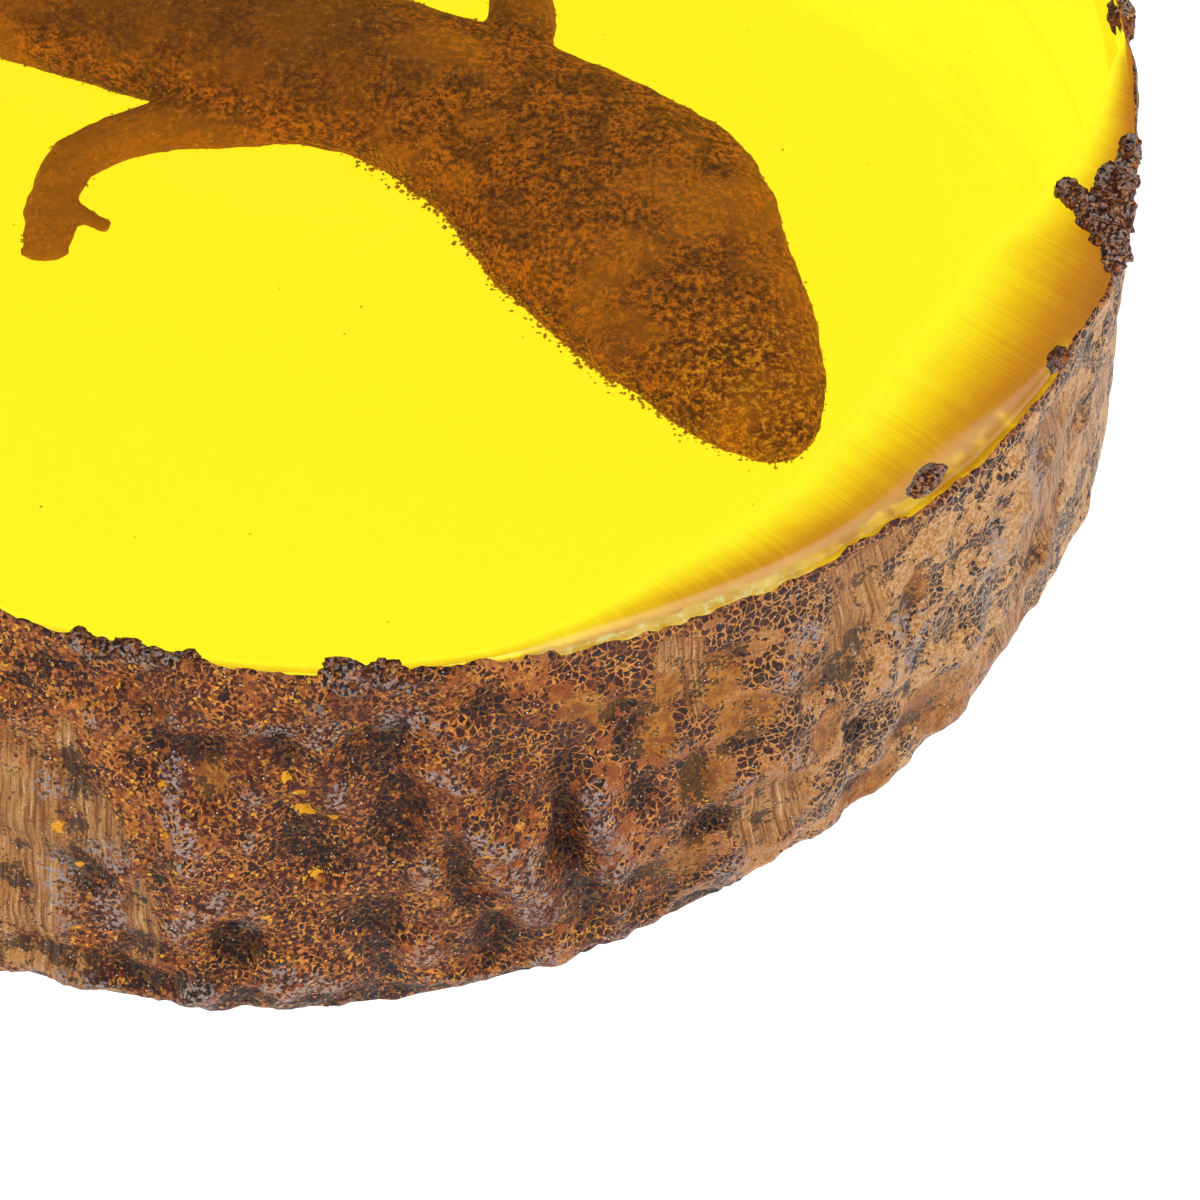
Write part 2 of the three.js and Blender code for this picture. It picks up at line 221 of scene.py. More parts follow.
def waves(azimuth, z):
    """The crust's regular small unevenness."""
    total = 0
    for height, *pair in WAVES:
        for turns, climb, phase in pair:
            height = height * np.sin(turns * np.radians(azimuth) + climb * z + phase)
        total = total + height
    return total


def back_folds():
    for n in range(BACK_FOLDS):
        azimuth = BACK_FOLD_START + BACK_FOLD_STEP * n
        height = 9 + 3 * (n % 4)
        out = -BACK_FOLD_OUT if n % 2 else BACK_FOLD_OUT
        yield (azimuth, height, *BACK_FOLD_SIZE, out, BACK_FOLD_LEAN * (n % 3 - 1))


def main_relief(azimuth, z):
    """The CAD model's relief: how far out of the plain side the crust lies."""
    out = waves(azimuth, z)
    for *place, height, lean in (*RELIEF, *back_folds()):
        out = out + height * oval(azimuth, z, *place, lean)
    near_foot = np.clip(1 - z / FOOT_ROUNDING[1], 0, 1)
    return np.maximum(out - FOOT_ROUNDING[0] * near_foot**2, THINNEST_CUT)


def turbulence(points, size, octaves, offset=0):
    """Smooth noise at each point, from about -1 to 1, with features of about this size."""
    flat = np.asarray(points).reshape(-1, 3) / size + offset
    values = [noise.fractal(Vector(p), 1.0, 2.0, octaves) for p in flat]
    return np.array(values).reshape(np.asarray(points).shape[:-1])


def make_object(name, points, faces, flat_faces=()):
    """A mesh object from points in millimetres, smooth shaded apart from some faces."""
    mesh = bpy.data.meshes.new(name)
    mesh.from_pydata((np.asarray(points) * MM).tolist(), [], [tuple(f) for f in faces])
    mesh.update()
    mesh.shade_smooth()
    for index in flat_faces:
        mesh.polygons[index].use_smooth = False
    obj = bpy.data.objects.new(name, mesh)
    bpy.context.scene.collection.objects.link(obj)
    return obj


def set_fields(obj, fields):
    """Stores named numbers for each point of the mesh, for the material to read."""
    for name, values in fields.items():
        field = obj.data.attributes.new(name, "FLOAT", "POINT")
        field.data.foreach_set("value", np.asarray(values, np.float32).ravel())


def grid_faces(rows, columns, closed=False):
    """Quads of a grid whose columns close round; the rows may close too."""
    faces = []
    last = rows if closed else rows - 1
    for row in range(last):
        below = row * columns
        above = ((row + 1) % rows) * columns
        for i in range(columns):
            j = (i + 1) % columns
            faces.append((below + i, below + j, above + j, above + i))
    return faces


def shifted(faces, first):
    """Faces whose corners count on from the points that come before theirs."""
    return [tuple(corner + first for corner in face) for face in faces]


class Nodes:
    """Shader nodes added step by step. Sockets are passed from step to step."""

    def __init__(self, tree):
        self.tree = tree

    def node(self, kind, **settings):
        node = self.tree.nodes.new("ShaderNode" + kind)
        for name, value in settings.items():
            setattr(node, name, value)
        return node

    def feed(self, value, socket):
        """Links a socket to another, or sets its value."""
        if isinstance(value, bpy.types.NodeSocket):
            self.tree.links.new(value, socket)
        elif isinstance(value, tuple) and socket.type == "RGBA":
            socket.default_value = (*value, 1)
        else:
            socket.default_value = value

    def feed_all(self, values, sockets):
        for value, socket in zip(values, sockets):
            self.feed(value, socket)

    def wire(self, node, **sockets):
        """Sets or links sockets of a node, named with underscores."""
        for name, value in sockets.items():
            self.feed(value, node.inputs[name.replace("_", " ")])

    def math(self, operation, *values):
        node = self.node("Math", operation=operation)
        self.feed_all(values, node.inputs)
        return node.outputs[0]

    def step(self, value, low, high, to_low=0.0, to_high=1.0):
        """Smooth step of a value between two limits."""
        node = self.node("MapRange", interpolation_type="SMOOTHSTEP")
        self.feed_all((value, low, high, to_low, to_high), node.inputs)
        return node.outputs[0]


class Paint(Nodes):
    """A node material, with positions in millimetres."""

    def __init__(self, name):
        self.material = bpy.data.materials.new(name)
        self.material.use_nodes = True
        super().__init__(self.material.node_tree)
        scale = self.node("VectorMath", operation="SCALE")
        self.wire(scale, Vector=self.node("TexCoord").outputs["Object"], Scale=1 / MM)
        self.position = scale.outputs[0]

    def set(self, **sockets):
        """Sets or links sockets of the shader."""
        self.wire(self.tree.nodes["Principled BSDF"], **sockets)

    def times(self, a, b):
        return self.math("MULTIPLY", a, b)

    def plus(self, base, value, amount):
        """The base with an amount of another value added."""
        return self.math("MULTIPLY_ADD", value, amount, base)

    def sway(self, base, value, amount):
        """The base moved up and down by a noise that is 0.5 on average."""
        return self.plus(base, self.math("SUBTRACT", value, 0.5), amount)

    def join(self, x, y=0.0, z=0.0):
        node = self.node("CombineXYZ")
        self.feed_all((x, y, z), node.inputs)
        return node.outputs[0]

    def texture(self, kind, vector, scale, **settings):
        node = self.node("Tex" + kind, **settings)
        self.wire(node, Vector=vector, Scale=scale)
        return node

    def shift(self, vector, amount, scale):
        """The vector moved about by noise, for ragged edges."""
        wobble = self.texture("Noise", vector, scale).outputs["Color"]
        move = self.node("VectorMath", operation="MULTIPLY_ADD")
        self.feed_all((wobble, (amount, amount, amount), vector), move.inputs)
        return move.outputs[0]

    def noise(self, vector, scale, detail=3.0, rough=0.55):
        """Noise of about 0.5, with this many features to a millimetre."""
        node = self.texture("Noise", vector, scale)
        self.wire(node, Detail=detail, Roughness=rough)
        return node.outputs["Fac"]

    def cells(self, vector, scale):
        """Voronoi cells: the distance to the middle, and two random numbers for each cell."""
        node = self.texture("Voronoi", vector, scale)
        split = self.node("SeparateColor")
        self.feed(node.outputs["Color"], split.inputs[0])
        return node.outputs["Distance"], split.outputs[0], split.outputs[1]

    def cell_edges(self, vector, scale):
        """Distance to the nearest edge between Voronoi cells."""
        return self.texture("Voronoi", vector, scale, feature="DISTANCE_TO_EDGE").outputs["Distance"]

    def field(self, name):
        """One of the numbers stored for each point of the mesh."""
        return self.node("Attribute", attribute_name=name).outputs["Fac"]

    def mix(self, share, a, b, blend="MIX"):
        node = self.node("Mix", data_type="RGBA", blend_type=blend)
        self.feed_all((share, a, b), (node.inputs[0], node.inputs[6], node.inputs[7]))
        return node.outputs[2]

    def blend(self, value, limits, colours):
        """From one colour to another by a smooth step of a value between two limits."""
        return self.mix(self.step(value, *limits), *colours)

    def bump(self, height, distance):
        """Bump from a height, in millimetres for a height of 1."""
        node = self.node("Bump")
        self.wire(node, Height=height, Distance=distance * MM)
        return node.outputs[0]


# Clear resin: one closed body whose side lies within the crust's relief
RESIN_COLUMNS = 240
SIDE_SHARES = (0, 0.25, 0.5, 0.75, 0.9)
RESIN_SINK = 1.3
RIM_SHARE = 0.97
RIM_SINK = 0.35
TOP_SHARES = (0.12, 0.4, 0.7, 1.0)
TOP_SINK = 0.06

# Yellow by absorption: for each metre, the density times what each part of the colour lacks of 1
RESIN_IOR = 1.54
RESIN_COLOUR = (0.9995, 0.957, 0.0)
RESIN_DENSITY = 150
GROUND_ROUGHNESS = 0.22


def make_resin():
    azimuth = np.arange(RESIN_COLUMNS) * 360 / RESIN_COLUMNS
    rim = rim_height(azimuth)
    levels = [(share, RESIN_SINK) for share in SIDE_SHARES] + [(RIM_SHARE, RIM_SINK)]
    rings = []
    for share, sink in levels:
        rings.append(spot(azimuth, side_radius(azimuth, rim * share) - sink, rim * share))
    for share in TOP_SHARES:
        inward = RIM_SINK + top_slope(azimuth) * share
        height = top_height(azimuth, inward) - TOP_SINK * (1 - share)
        rings.append(spot(azimuth, side_radius(azimuth, rim) - inward, height))
    points = np.concatenate(rings)
    faces = grid_faces(len(rings), RESIN_COLUMNS)
    foot = tuple(reversed(range(RESIN_COLUMNS)))
    face = tuple(range(len(points) - RESIN_COLUMNS, len(points)))
    flat_faces = [len(faces), len(faces) + 1]
    resin = make_object("clear_resin", points, [*faces, foot, face], flat_faces)
    slope = np.zeros((len(rings), RESIN_COLUMNS))
    slope[len(levels) : -1] = bevel_share(azimuth)
    set_fields(resin, {"slope": slope})
    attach(resin, "root")
    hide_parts("resin_lower", "resin_upper")
    return resin


def paint_resin():
    """Clear resin, polished but for the ground slope."""
    paint = Paint("clear_yellow_resin")
    paint.set(Base_Color=(1.0, 1.0, 1.0), Transmission_Weight=1.0, IOR=RESIN_IOR)
    paint.set(Roughness=paint.step(paint.field("slope"), 0.2, 0.8, 0.0, GROUND_ROUGHNESS))
    absorption = paint.node("VolumeAbsorption")
    paint.wire(absorption, Color=RESIN_COLOUR, Density=RESIN_DENSITY)
    paint.wire(paint.tree.nodes["Material Output"], Volume=absorption.outputs["Volume"])
    return paint.material


# Crust: rings of points up its outer side, in a lip over the rim, and down its inner wall
CRUST_COLUMNS = 900
COLUMN_WIDTH = 0.32
SIDE_ROWS = 72
TOP_ROWS = 5
SHADE_ROWS = 9
WALL_HEIGHTS = (14, 7, 0)
WALL_ROWS = SHADE_ROWS + len(WALL_HEIGHTS)
CRUST_DEPTH = 1.6
RIM_GAP = 0.25

# The crust's own unevenness: size of its features, octaves, place in the noise, and height
UNEVENNESS = (
    (3.2, 3, 0, 0.26),
    (1.3, 3, 17, 0.2),
    (0.75, 2, 41, 0.1),
)

# Small bumps strewn over the side: how many, their half lengths, and height for each of these
WARTS = 900
WART_SIZES = (0.35, 1.1)
WART_HEIGHTS = (0.12, 0.34)

# Smooth patches lie a little deeper, dark and golden ones deeper still
SMOOTH_SINK = 0.15
TAR_SINK = 0.45
GOLD_SINK = 0.35

# A low round disc with a raised edge at the left
DISC_AT = (-106.1, 13.0)
DISC_RADIUS = 1.5

# The relief is low near the rim, most of all under the ground slope, and round the far right
RIM_CALM = 0.4
SLOPE_CALM = 0.45
RIGHT_CALM = 0.75
RIGHT_AZIMUTH = 5
RIGHT_REACH = 38

# The lip of crust over the rim
LIP_START = 0.12
LIP_WIDTH = 0.4
LIP_LEAST = 0.1
LIP_LUMP = 0.2
LIP_RISE = 0.03

# The brown painted shade under the face's edge, where less light reaches the resin: its width at some
# azimuths, the slope of the inner wall that carries it, and how far the camera's line of sight leans back
# for each millimetre down
PAINTED_SHADE_AZIMUTHS = (-125, -110, -80, -72, -65, -57, -50, -44, -37, -30, -17, -12, -8, -3, 2, 5)
PAINTED_SHADE_WIDTHS = (0, 0.6, 0.8, 1.6, 2.6, 3.3, 4.0, 5.0, 5.5, 6.2, 6.0, 4.2, 2.8, 1.8, 0.9, 0)
PAINTED_SHADE_SPARE = 1.4
PAINTED_SHADE_SLOPE = 0.8
PAINTED_SHADE_LEAST = 0.05
PAST_PAINTED_SHADE = 2.0
SIGHT_LEAN = 0.459
WALL_OVERLAP = 0.1
WALL_DROP = 0.3
WALL_LEAST = 0.3

# Polishing left streaks along large arcs round this place
POLISH_CENTRE = (-43, -107)

# Where the side was scraped smooth: azimuth, height, half length round and up
SCRAPES = (
    (-112.5, 12, 3, 9),
    (-109.2, 18.7, 0.8, 4),
    (-107.2, 15, 1.7, 2.8),
    (-104.4, 7.5, 1, 4.5),
    (-112, 2.6, 3.5, 1.5),
    (-108, 0.5, 4.2, 0.9),
    (-52.2, 20.5, 2.2, 5),
    (-51, 25.4, 3.6, 1.6),
    (-59.2, 8.4, 2.5, 4),
    (-65.5, 22.3, 0.7, 3.6),
    (-67.2, 24.8, 1, 1.6),
    (-27, 14, 4.5, 9),
    (-32.4, 3.3, 3.5, 4),
    (-30.4, 22.3, 2, 3),
    (-14, 14, 3.5, 8),
)

# Smooth honey-coloured patches
HONEYS = (
    (-74.1, 23.2, 1.3, 1.2),
    (-72.3, 21.8, 1.4, 1.2),
    (-64, 21.5, 1.8, 2.4),
    (-68.6, 18.8, 1.3, 2.6),
    (-67.5, 22.6, 1.2, 2),
    (-61.5, 17.6, 2.2, 2),
    (-64.8, 13.2, 1.8, 2.4),
    (-66.6, 5.8, 2.2, 2.2),
    (-44.8, 7, 3.4, 2.6),
    (-49, 3, 3, 2),
    (-54.5, 12.5, 1.3, 2.6),
    (-40.5, 5, 3, 3.5),
    (-46.5, 19.5, 1, 2.2),
    (-99.2, 20.2, 1.2, 1.6),
)

# Tarry dark hollows
TARS = (
    (-98.2, 6.6, 1.2, 1.6),
    (-100.4, 3.5, 1.6, 1),
    (-75.4, 14, 0.8, 4),
    (-63.9, 9, 1.7, 1.9),
    (-65.6, 13.6, 0.9, 2.6),
    (-67.8, 3.4, 2.2, 1.6),
    (-88.5, 21.6, 2.4, 1.6),
    (-86.6, 17, 1.4, 3),
    (-83, 13, 0.8, 3.4),
    (-80.9, 5, 1.2, 3),
    (-91.5, 13.5, 1.6, 1.4),
    (-73.4, 6.5, 1.2, 2.4),
    (-51.6, 10.3, 0.9, 0.9),
    (-101, 22, 2.2, 1.3),
    (-111, 3.2, 3.5, 1),
    (-105, 2.6, 4, 1.2),
    (-98.5, 2.2, 3, 1.3),
    (-92.5, 1.6, 3, 1.2),
    (-86, 1.2, 3, 0.9),
    (-79, 0.8, 3, 0.7),
)

# Rust-red places
REDS = (
    (-102.6, 24.5, 2.4, 1.8),
    (-90.4, 25, 2.4, 1.5),
    (-97.5, 22, 3, 2.4),
    (-91.2, 19.4, 2.2, 2),
    (-85.3, 17, 1.5, 2),
    (-77.5, 8, 1.6, 2),
)

# Places with a pale frosting
FROSTS = (
    (-106.1, 13, 2, 2),
    (-101.6, 20, 0.7, 2),
    (-100.6, 15.5, 0.8, 2.4),
    (-99, 11, 1, 1.4),
    (-97.2, 8.6, 0.8, 1.8),
    (-110.5, 17, 1.3, 1.2),
    (-110.2, 9, 1.3, 3),
    (-109, 0.3, 4, 0.8),
    (-106.6, 7.6, 1.4, 2.6),
    (-93, 23.5, 2.6, 1.2),
    (-86, 24, 2, 1.2),
    (-78, 12.6, 0.7, 1.8),
    (-57, 22, 1.4, 1.6),
    (-45.8, 14.5, 1.6, 4),
    (-47.6, 17.5, 1.2, 1.6),
    (-38, 17, 1.6, 6),
    (-33, 20, 1.6, 5),
)

# Golden glints, painted as light in small bubbles of the crust
GOLDS = (
    (-93.2, 17.4, 0.85, 0.7),
    (-91.3, 16.8, 0.5, 0.4),
    (-92.6, 12.4, 0.7, 0.4),
    (-102, 16.6, 0.28, 0.3),
    (-101.9, 14.6, 0.24, 0.28),
    (-101.5, 13.6, 0.3, 0.26),
    (-102.4, 19.6, 0.3, 0.25),
    (-108.8, 10.8, 0.25, 0.3),
    (-109.9, 14, 0.3, 0.4),
    (-94.4, 20.2, 0.4, 0.3),
    (-93.4, 19.2, 0.35, 0.25),
    (-87.2, 12.6, 0.3, 0.2),
    (-86.2, 13.6, 0.4, 0.15),
    (-76.3, 9.6, 0.25, 0.3),
    (-98.5, 9.6, 0.3, 0.2),
    (-81.3, 14, 0.4, 0.15),
    (-63.2, 10.7, 0.7, 0.2),
    (-105.6, 25.2, 0.3, 0.3),
)

# Each kind of patch: the places above, how many more lie round the back, and their half lengths
PATCHES = {
    "scrape": (SCRAPES, 14, (1.5, 3.5)),
    "honey": (HONEYS, 14, (1.0, 2.6)),
    "tar": (TARS, 18, (0.8, 1.8)),
    "red": (REDS, 8, (1.5, 3.0)),
    "frost": (FROSTS, 16, (0.8, 2.2)),
    "gold": (GOLDS, 20, (0.2, 0.5)),
}
BACK_AZIMUTHS = (-5, 245)

# Knobs of crust on the rim, as in the CAD model, but for the cluster at the right:
# azimuth, radius, height and half sizes
KNOBS = (
    (-108, 44.9, 27.3, 1, 0.8, 0.9),
    (-103, 44.7, 27.3, 1.9, 0.9, 1.1),
    (-89, 44.8, 27.2, 1.7, 1, 1.5),
    (-86.8, 45, 27, 1, 0.8, 1.1),
    (8, 44.8, 27, 1.9, 0.8, 0.9),
    (47, 44.9, 27.2, 1.6, 1, 1.2),
    (86, 44, 27.2, 1.3, 0.9, 0.9),
    (124, 44.5, 27.1, 2, 1, 1.1),
    (168, 45.6, 27.2, 1.5, 0.9, 1),
    (-146, 45.2, 27.2, 1.3, 0.9, 1),
)
KNOB_LUMPS = 7
KNOB_SPREAD = 1.1

# Lumps of the cluster on the rim at the right: azimuth, radius and size
CLUSTER = (
    (-7.4, 44.5, 0.5), (-8.6, 44.5, 0.55), (-9.9, 44.4, 0.55), (-11.2, 44.5, 0.6),
    (-12.6, 44.5, 0.6), (-14, 44.6, 0.7), (-15.2, 44.6, 0.75), (-10.6, 43.5, 0.45),
    (-11.8, 43.4, 0.5), (-13.2, 43.4, 0.6), (-14.6, 43.5, 0.7), (-13.2, 41.4, 0.6),
    (-13.8, 41.9, 0.6), (-14.5, 42.5, 0.55), (-15.4, 43.1, 0.7), (-16.2, 43.9, 0.75),
    (-17.3, 44.6, 0.8), (-18.4, 45.1, 0.65), (-19.6, 45.2, 0.5),
)
CLUSTER_SCALE = 1.3

# The dark pit in the ground slope at the right front, and the netted hollow beside it, as knobs
PIT = (-44.3, 43.95, 26.7, 1.45, 0.62, 0.5)
NETTED_HOLLOW = (-29.3, 44.8, 26.9, 0.95, 0.55, 0.5)

# What the material reads on the knobs, where it isn't 0
KNOB_FIELDS = {"cover": 0.95, "frost": 0.62, "tar": 0.4, "grainy": 0.7}


def blobs(azimuth, z, places):
    """Highest of a set of ovals at each point."""
    field = np.zeros(np.broadcast(azimuth, z).shape)
    for place in places:
        field = np.maximum(field, oval(azimuth, z, *place))
    return field


def spread_blobs(rng, count, sizes):
    """Random ovals for the part of the side that the photo doesn't show."""
    places = []
    for _ in range(count):
        half = rng.uniform(*sizes)
        at = (rng.uniform(*BACK_AZIMUTHS), rng.uniform(1, 26))
        places.append((*at, half, half * rng.uniform(0.8, 2.0)))
    return places


def side_patches(azimuth, z, rng):
    """How far into each kind of patch each point of the side lies, from 0 to 1."""
    return {
        name: blobs(azimuth, z, [*places, *spread_blobs(rng, count, sizes)])
        for name, (places, count, sizes) in PATCHES.items()
    }


def warts(azimuth, z, rng):
    """Small bumps strewn over the side, each worked out on the columns near it."""
    out = np.zeros(azimuth.shape)
    for _ in range(WARTS):
        at = (rng.uniform(0, 360), rng.uniform(1, 26.5))
        half = rng.uniform(*WART_SIZES)
        height = half * rng.uniform(*WART_HEIGHTS)
        middle = int(at[0] / 360 * CRUST_COLUMNS)
        reach = int(half * 3 / COLUMN_WIDTH) + 2
        window = np.arange(middle - reach, middle + reach) % CRUST_COLUMNS
        sizes = (half, half * rng.uniform(0.7, 1.2))
        out[:, window] += height * oval(azimuth[:, window], z[:, window], *at, *sizes)
    return out


def disc(azimuth, z):
    """The low round disc: a raised edge round a shallow dish."""
    off = np.hypot(arc(azimuth, DISC_AT[0]), z - DISC_AT[1])
    return 0.3 * np.exp(-(((off - DISC_RADIUS) / 0.3) ** 2)) - 0.1 * np.exp(-((off / 1.2) ** 2))


def calm(relief, azimuth, z):
    """The relief made low where it is low in the photo: near the rim and round the far right."""
    near_rim = smoothstep((z - rim_height(azimuth) + 3.2) / 2.2)
    calm_rim = near_rim * (RIM_CALM + SLOPE_CALM * bevel_share(azimuth))
    calm_right = RIGHT_CALM * bell(azimuth, RIGHT_AZIMUTH, RIGHT_REACH)
    return np.maximum(relief * (1 - np.maximum(calm_right, calm_rim)), THINNEST_CUT + 0.85 * near_rim)


def side_relief(azimuth, z, patches, noises, rng):
    """How far out of the plain side each point of the crust lies."""
    bare = np.maximum(patches["scrape"], patches["honey"])
    smooth_patch = smoothstep((bare + 0.35 * noises[1] - 0.35) / 0.3)
    rough = 1 - 0.85 * smooth_patch
    uneven = sum(height * values for (*_, height), values in zip(UNEVENNESS, noises))
    relief = main_relief(azimuth, z) - SMOOTH_SINK * smooth_patch
    relief = relief + rough * (uneven + warts(azimuth, z, rng)) + disc(azimuth, z)
    relief = relief - TAR_SINK * smoothstep(patches["tar"] * 1.6 - 0.3) - GOLD_SINK * patches["gold"]
    return calm(relief, azimuth, z)


def soften(field, reach):
    """A field on the crust's grid, averaged over this many columns and rows each way."""
    steps = range(-reach, reach + 1, 2)
    round_mean = sum(np.roll(field, step, axis=1) for step in steps) / len(steps)
    padded = np.pad(round_mean, ((reach, reach), (0, 0)), mode="edge")
    rows = len(field)
    return sum(padded[reach + step : reach + step + rows] for step in steps) / len(steps)


def lip_rings(columns, edge, broad, middle):
    """Rings of the thin ragged lip of crust that lies over the rim, from outside inwards."""
    even = (1 - 0.7 * bell(columns, RIGHT_AZIMUTH, RIGHT_REACH)) * (1 - 0.6 * bevel_share(columns))
    width = np.maximum(LIP_WIDTH + 0.5 * middle + 0.4 * broad, LIP_LEAST) * even
    rim = rim_height(columns)
    rings = []
    for n in range(1, TOP_ROWS + 1):
        share = n / TOP_ROWS
        radius = edge - LIP_START - width * share
        inward = np.maximum(side_radius(columns, rim) - radius, 0)
        lump = LIP_LUMP * (1 - share) * np.maximum(turbulence(spot(columns, radius, rim), 1.4, 2), 0)
        rings.append(spot(columns, radius, top_height(columns, inward) + LIP_RISE + lump * even))
    return rings


def wall_rings(columns, lip):
    """Rings of the inner wall, and what its points carry: their place in the painted shade and the slope.

    The wall starts under the lip, slopes down as far in as the painted shade is seen, then goes down to the
    foot a little inside the side.
    """
    rim_radius = side_radius(columns, rim_height(columns))
    width = np.interp(turn_between(columns, 0), PAINTED_SHADE_AZIMUTHS, PAINTED_SHADE_WIDTHS, left=0, right=0)
    lean = SIGHT_LEAN * -np.sin(np.radians(columns))
    start = rim_radius - distance(lip, *FACE_CENTRE) + WALL_OVERLAP
    reach = np.maximum(PAINTED_SHADE_SPARE * width / (1 - PAINTED_SHADE_SLOPE * lean) - start, WALL_LEAST)
    rings, painted_shade, band = [], [], []
    for n in range(SHADE_ROWS):
        inward = start + reach * n / (SHADE_ROWS - 1)
        height = top_height(columns, inward) - (WALL_DROP + PAINTED_SHADE_SLOPE * (inward - start))
        rings.append(spot(columns, rim_radius - inward, height))
        seen = inward - lean * (THICKNESS - height)
        painted_shade.append(np.where(width > PAINTED_SHADE_LEAST, seen / np.maximum(width, PAINTED_SHADE_LEAST), PAST_PAINTED_SHADE))
        band.append(bevel_share(columns) * smoothstep((top_slope(columns) + 0.1 - inward) / 0.2))
    for height in WALL_HEIGHTS:
        rings.append(spot(columns, side_radius(columns, height) - CRUST_DEPTH, height))
        painted_shade.append(np.full(CRUST_COLUMNS, PAST_PAINTED_SHADE))
        band.append(np.zeros(CRUST_COLUMNS))
    return rings, painted_shade, band


def on_rings(side=0.0, lip=0.0, wall=0.0):
    """One value for each point of the crust, from those of its side, its lip and its inner wall."""
    parts = ((side, SIDE_ROWS), (lip, TOP_ROWS), (wall, WALL_ROWS))
    return np.concatenate([np.broadcast_to(values, (rows, CRUST_COLUMNS)) for values, rows in parts])


def rightness(azimuth):
    """0 on the dense dark crust at the front left, 1 on the pale patchy crust at the right."""
    turn = turn_between(azimuth, -90)
    return smoothstep((turn - 14) / 34) * smoothstep((120 - turn) / 30)


def crust_fields(azimuth, z, points, patches, painted_shade, band):
    """What the crust's materials read at each point."""
    upper_left = smoothstep((-100 - turn_between(azimuth, 0)) / 6) * smoothstep((z - 15) / 5)
    cover = 0.85 - 0.36 * rightness(azimuth) - 0.3 * upper_left
    grainy = 0.85 - 0.75 * smoothstep((turn_between(azimuth, -97) - 4) / 22)
    length_round = arc(azimuth, 90)
    depth = THICKNESS - points[:, 2]
    seen = np.stack([points[:, 0], points[:, 1] - SIGHT_LEAN * depth], -1)
    return {
        **{name: on_rings(values) for name, values in patches.items()},
        "cover": on_rings(cover, lip=0.8),
        "beige": on_rings(rightness(azimuth), lip=0.2),
        "grainy": on_rings(grainy, lip=0.3),
        "painted_shade": on_rings(wall=painted_shade),
        "band": on_rings(wall=band),
        "milky": on_rings(wall=smoothstep(-turn_between(azimuth[0], -54) / 6)),
        "round": on_rings(length_round, lip=length_round[-1]),
        "up": on_rings(z, lip=THICKNESS),
        "depth": depth,
        "polish": distance(seen, *POLISH_CENTRE),
    }


def make_knob(knob):
    """Points and faces of one lumpy knob."""
    azimuth, radius, height, half_round, half_across, half_up = knob
    ball = bmesh.new()
    bmesh.ops.create_icosphere(ball, subdivisions=3, radius=1)
    unit = np.array([vertex.co for vertex in ball.verts])
    faces = [tuple(vertex.index for vertex in face.verts) for face in ball.faces]
    ball.free()
    unit = unit * (1 + 0.4 * turbulence(unit + azimuth, 0.6, 3))[:, None]
    turn = math.radians(azimuth)
    outward = (math.cos(turn), math.sin(turn), 0)
    round_rim = (-math.sin(turn), math.cos(turn), 0)
    sizes = (half_across, half_round, half_up)
    return spot(azimuth, radius, height) + unit * sizes @ np.array([outward, round_rim, (0, 0, 1)]), faces


def all_knobs(rng):
    """Each knob as a bunch of lumps, then the cluster's lumps, the pit and the netted hollow."""
    for azimuth, radius, height, half_round, half_across, half_up in KNOBS:
        for _ in range(KNOB_LUMPS):
            shift = rng.uniform(-KNOB_SPREAD, KNOB_SPREAD)
            size = rng.uniform(0.45, 0.75) * (1.15 - 0.4 * abs(shift))
            turn = math.degrees(shift * half_round / radius)
            out = radius + rng.uniform(-0.4, 0.4) * half_across
            sizes = (size * half_round, size * half_across * 1.2, size * half_up)
            yield (azimuth + turn, out, height - 0.2, *sizes)
    for azimuth, radius, size in CLUSTER:
        half = CLUSTER_SCALE * size
        yield (azimuth, radius, THICKNESS + 0.1, half, half, half * rng.uniform(0.8, 1.2))
    yield PIT
    yield NETTED_HOLLOW


def make_crust():
    rng = random.Random(SEED)
    columns = np.arange(CRUST_COLUMNS) * 360 / CRUST_COLUMNS
    azimuth, share = np.meshgrid(columns, np.linspace(0, 1, SIDE_ROWS))
    z = share * (rim_height(columns) - RIM_GAP)
    plain = side_radius(azimuth, z)
    patches = side_patches(azimuth, z, rng)
    noises = [turbulence(spot(azimuth, plain, z), *settings) for *settings, _ in UNEVENNESS]
    relief = side_relief(azimuth, z, patches, noises, rng)
    # Below the softened relief lie hollows, which get painted shade; above it, the raised places are
    # frosted pale as well
    sunk = soften(relief, 9) - relief
    patches["hollow"] = smoothstep(sunk / 0.5)
    patches["frost"] = np.maximum(patches["frost"], 0.75 * smoothstep((-sunk - 0.25) / 0.35))

    side = spot(azimuth, plain + relief, z)
    lip = lip_rings(columns, plain[-1] + relief[-1], noises[0][-1], noises[1][-1])
    wall, painted_shade, band = wall_rings(columns, lip[-1])
    points = np.concatenate([*side, *lip, *wall])
    faces = grid_faces(SIDE_ROWS + TOP_ROWS + WALL_ROWS, CRUST_COLUMNS, closed=True)
    fields = crust_fields(azimuth, z, points, patches, painted_shade, band)
    for knob in all_knobs(rng):
        knob_points, knob_faces = make_knob(knob)
        faces.extend(shifted(knob_faces, len(points)))
        points = np.concatenate([points, knob_points])
    for name, values in fields.items():
        on_knobs = np.full(len(points) - values.size, KNOB_FIELDS.get(name, 0.0))
        fields[name] = np.concatenate([values.ravel(), on_knobs])

    crust = make_object("crust_skin", points, faces)
    first = (SIDE_ROWS + TOP_ROWS - 1) * CRUST_COLUMNS
    for polygon in crust.data.polygons[first : first + WALL_ROWS * CRUST_COLUMNS]:
        polygon.material_index = 1
    set_fields(crust, fields)
    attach(crust, "root")
    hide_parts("crust")
    return crust


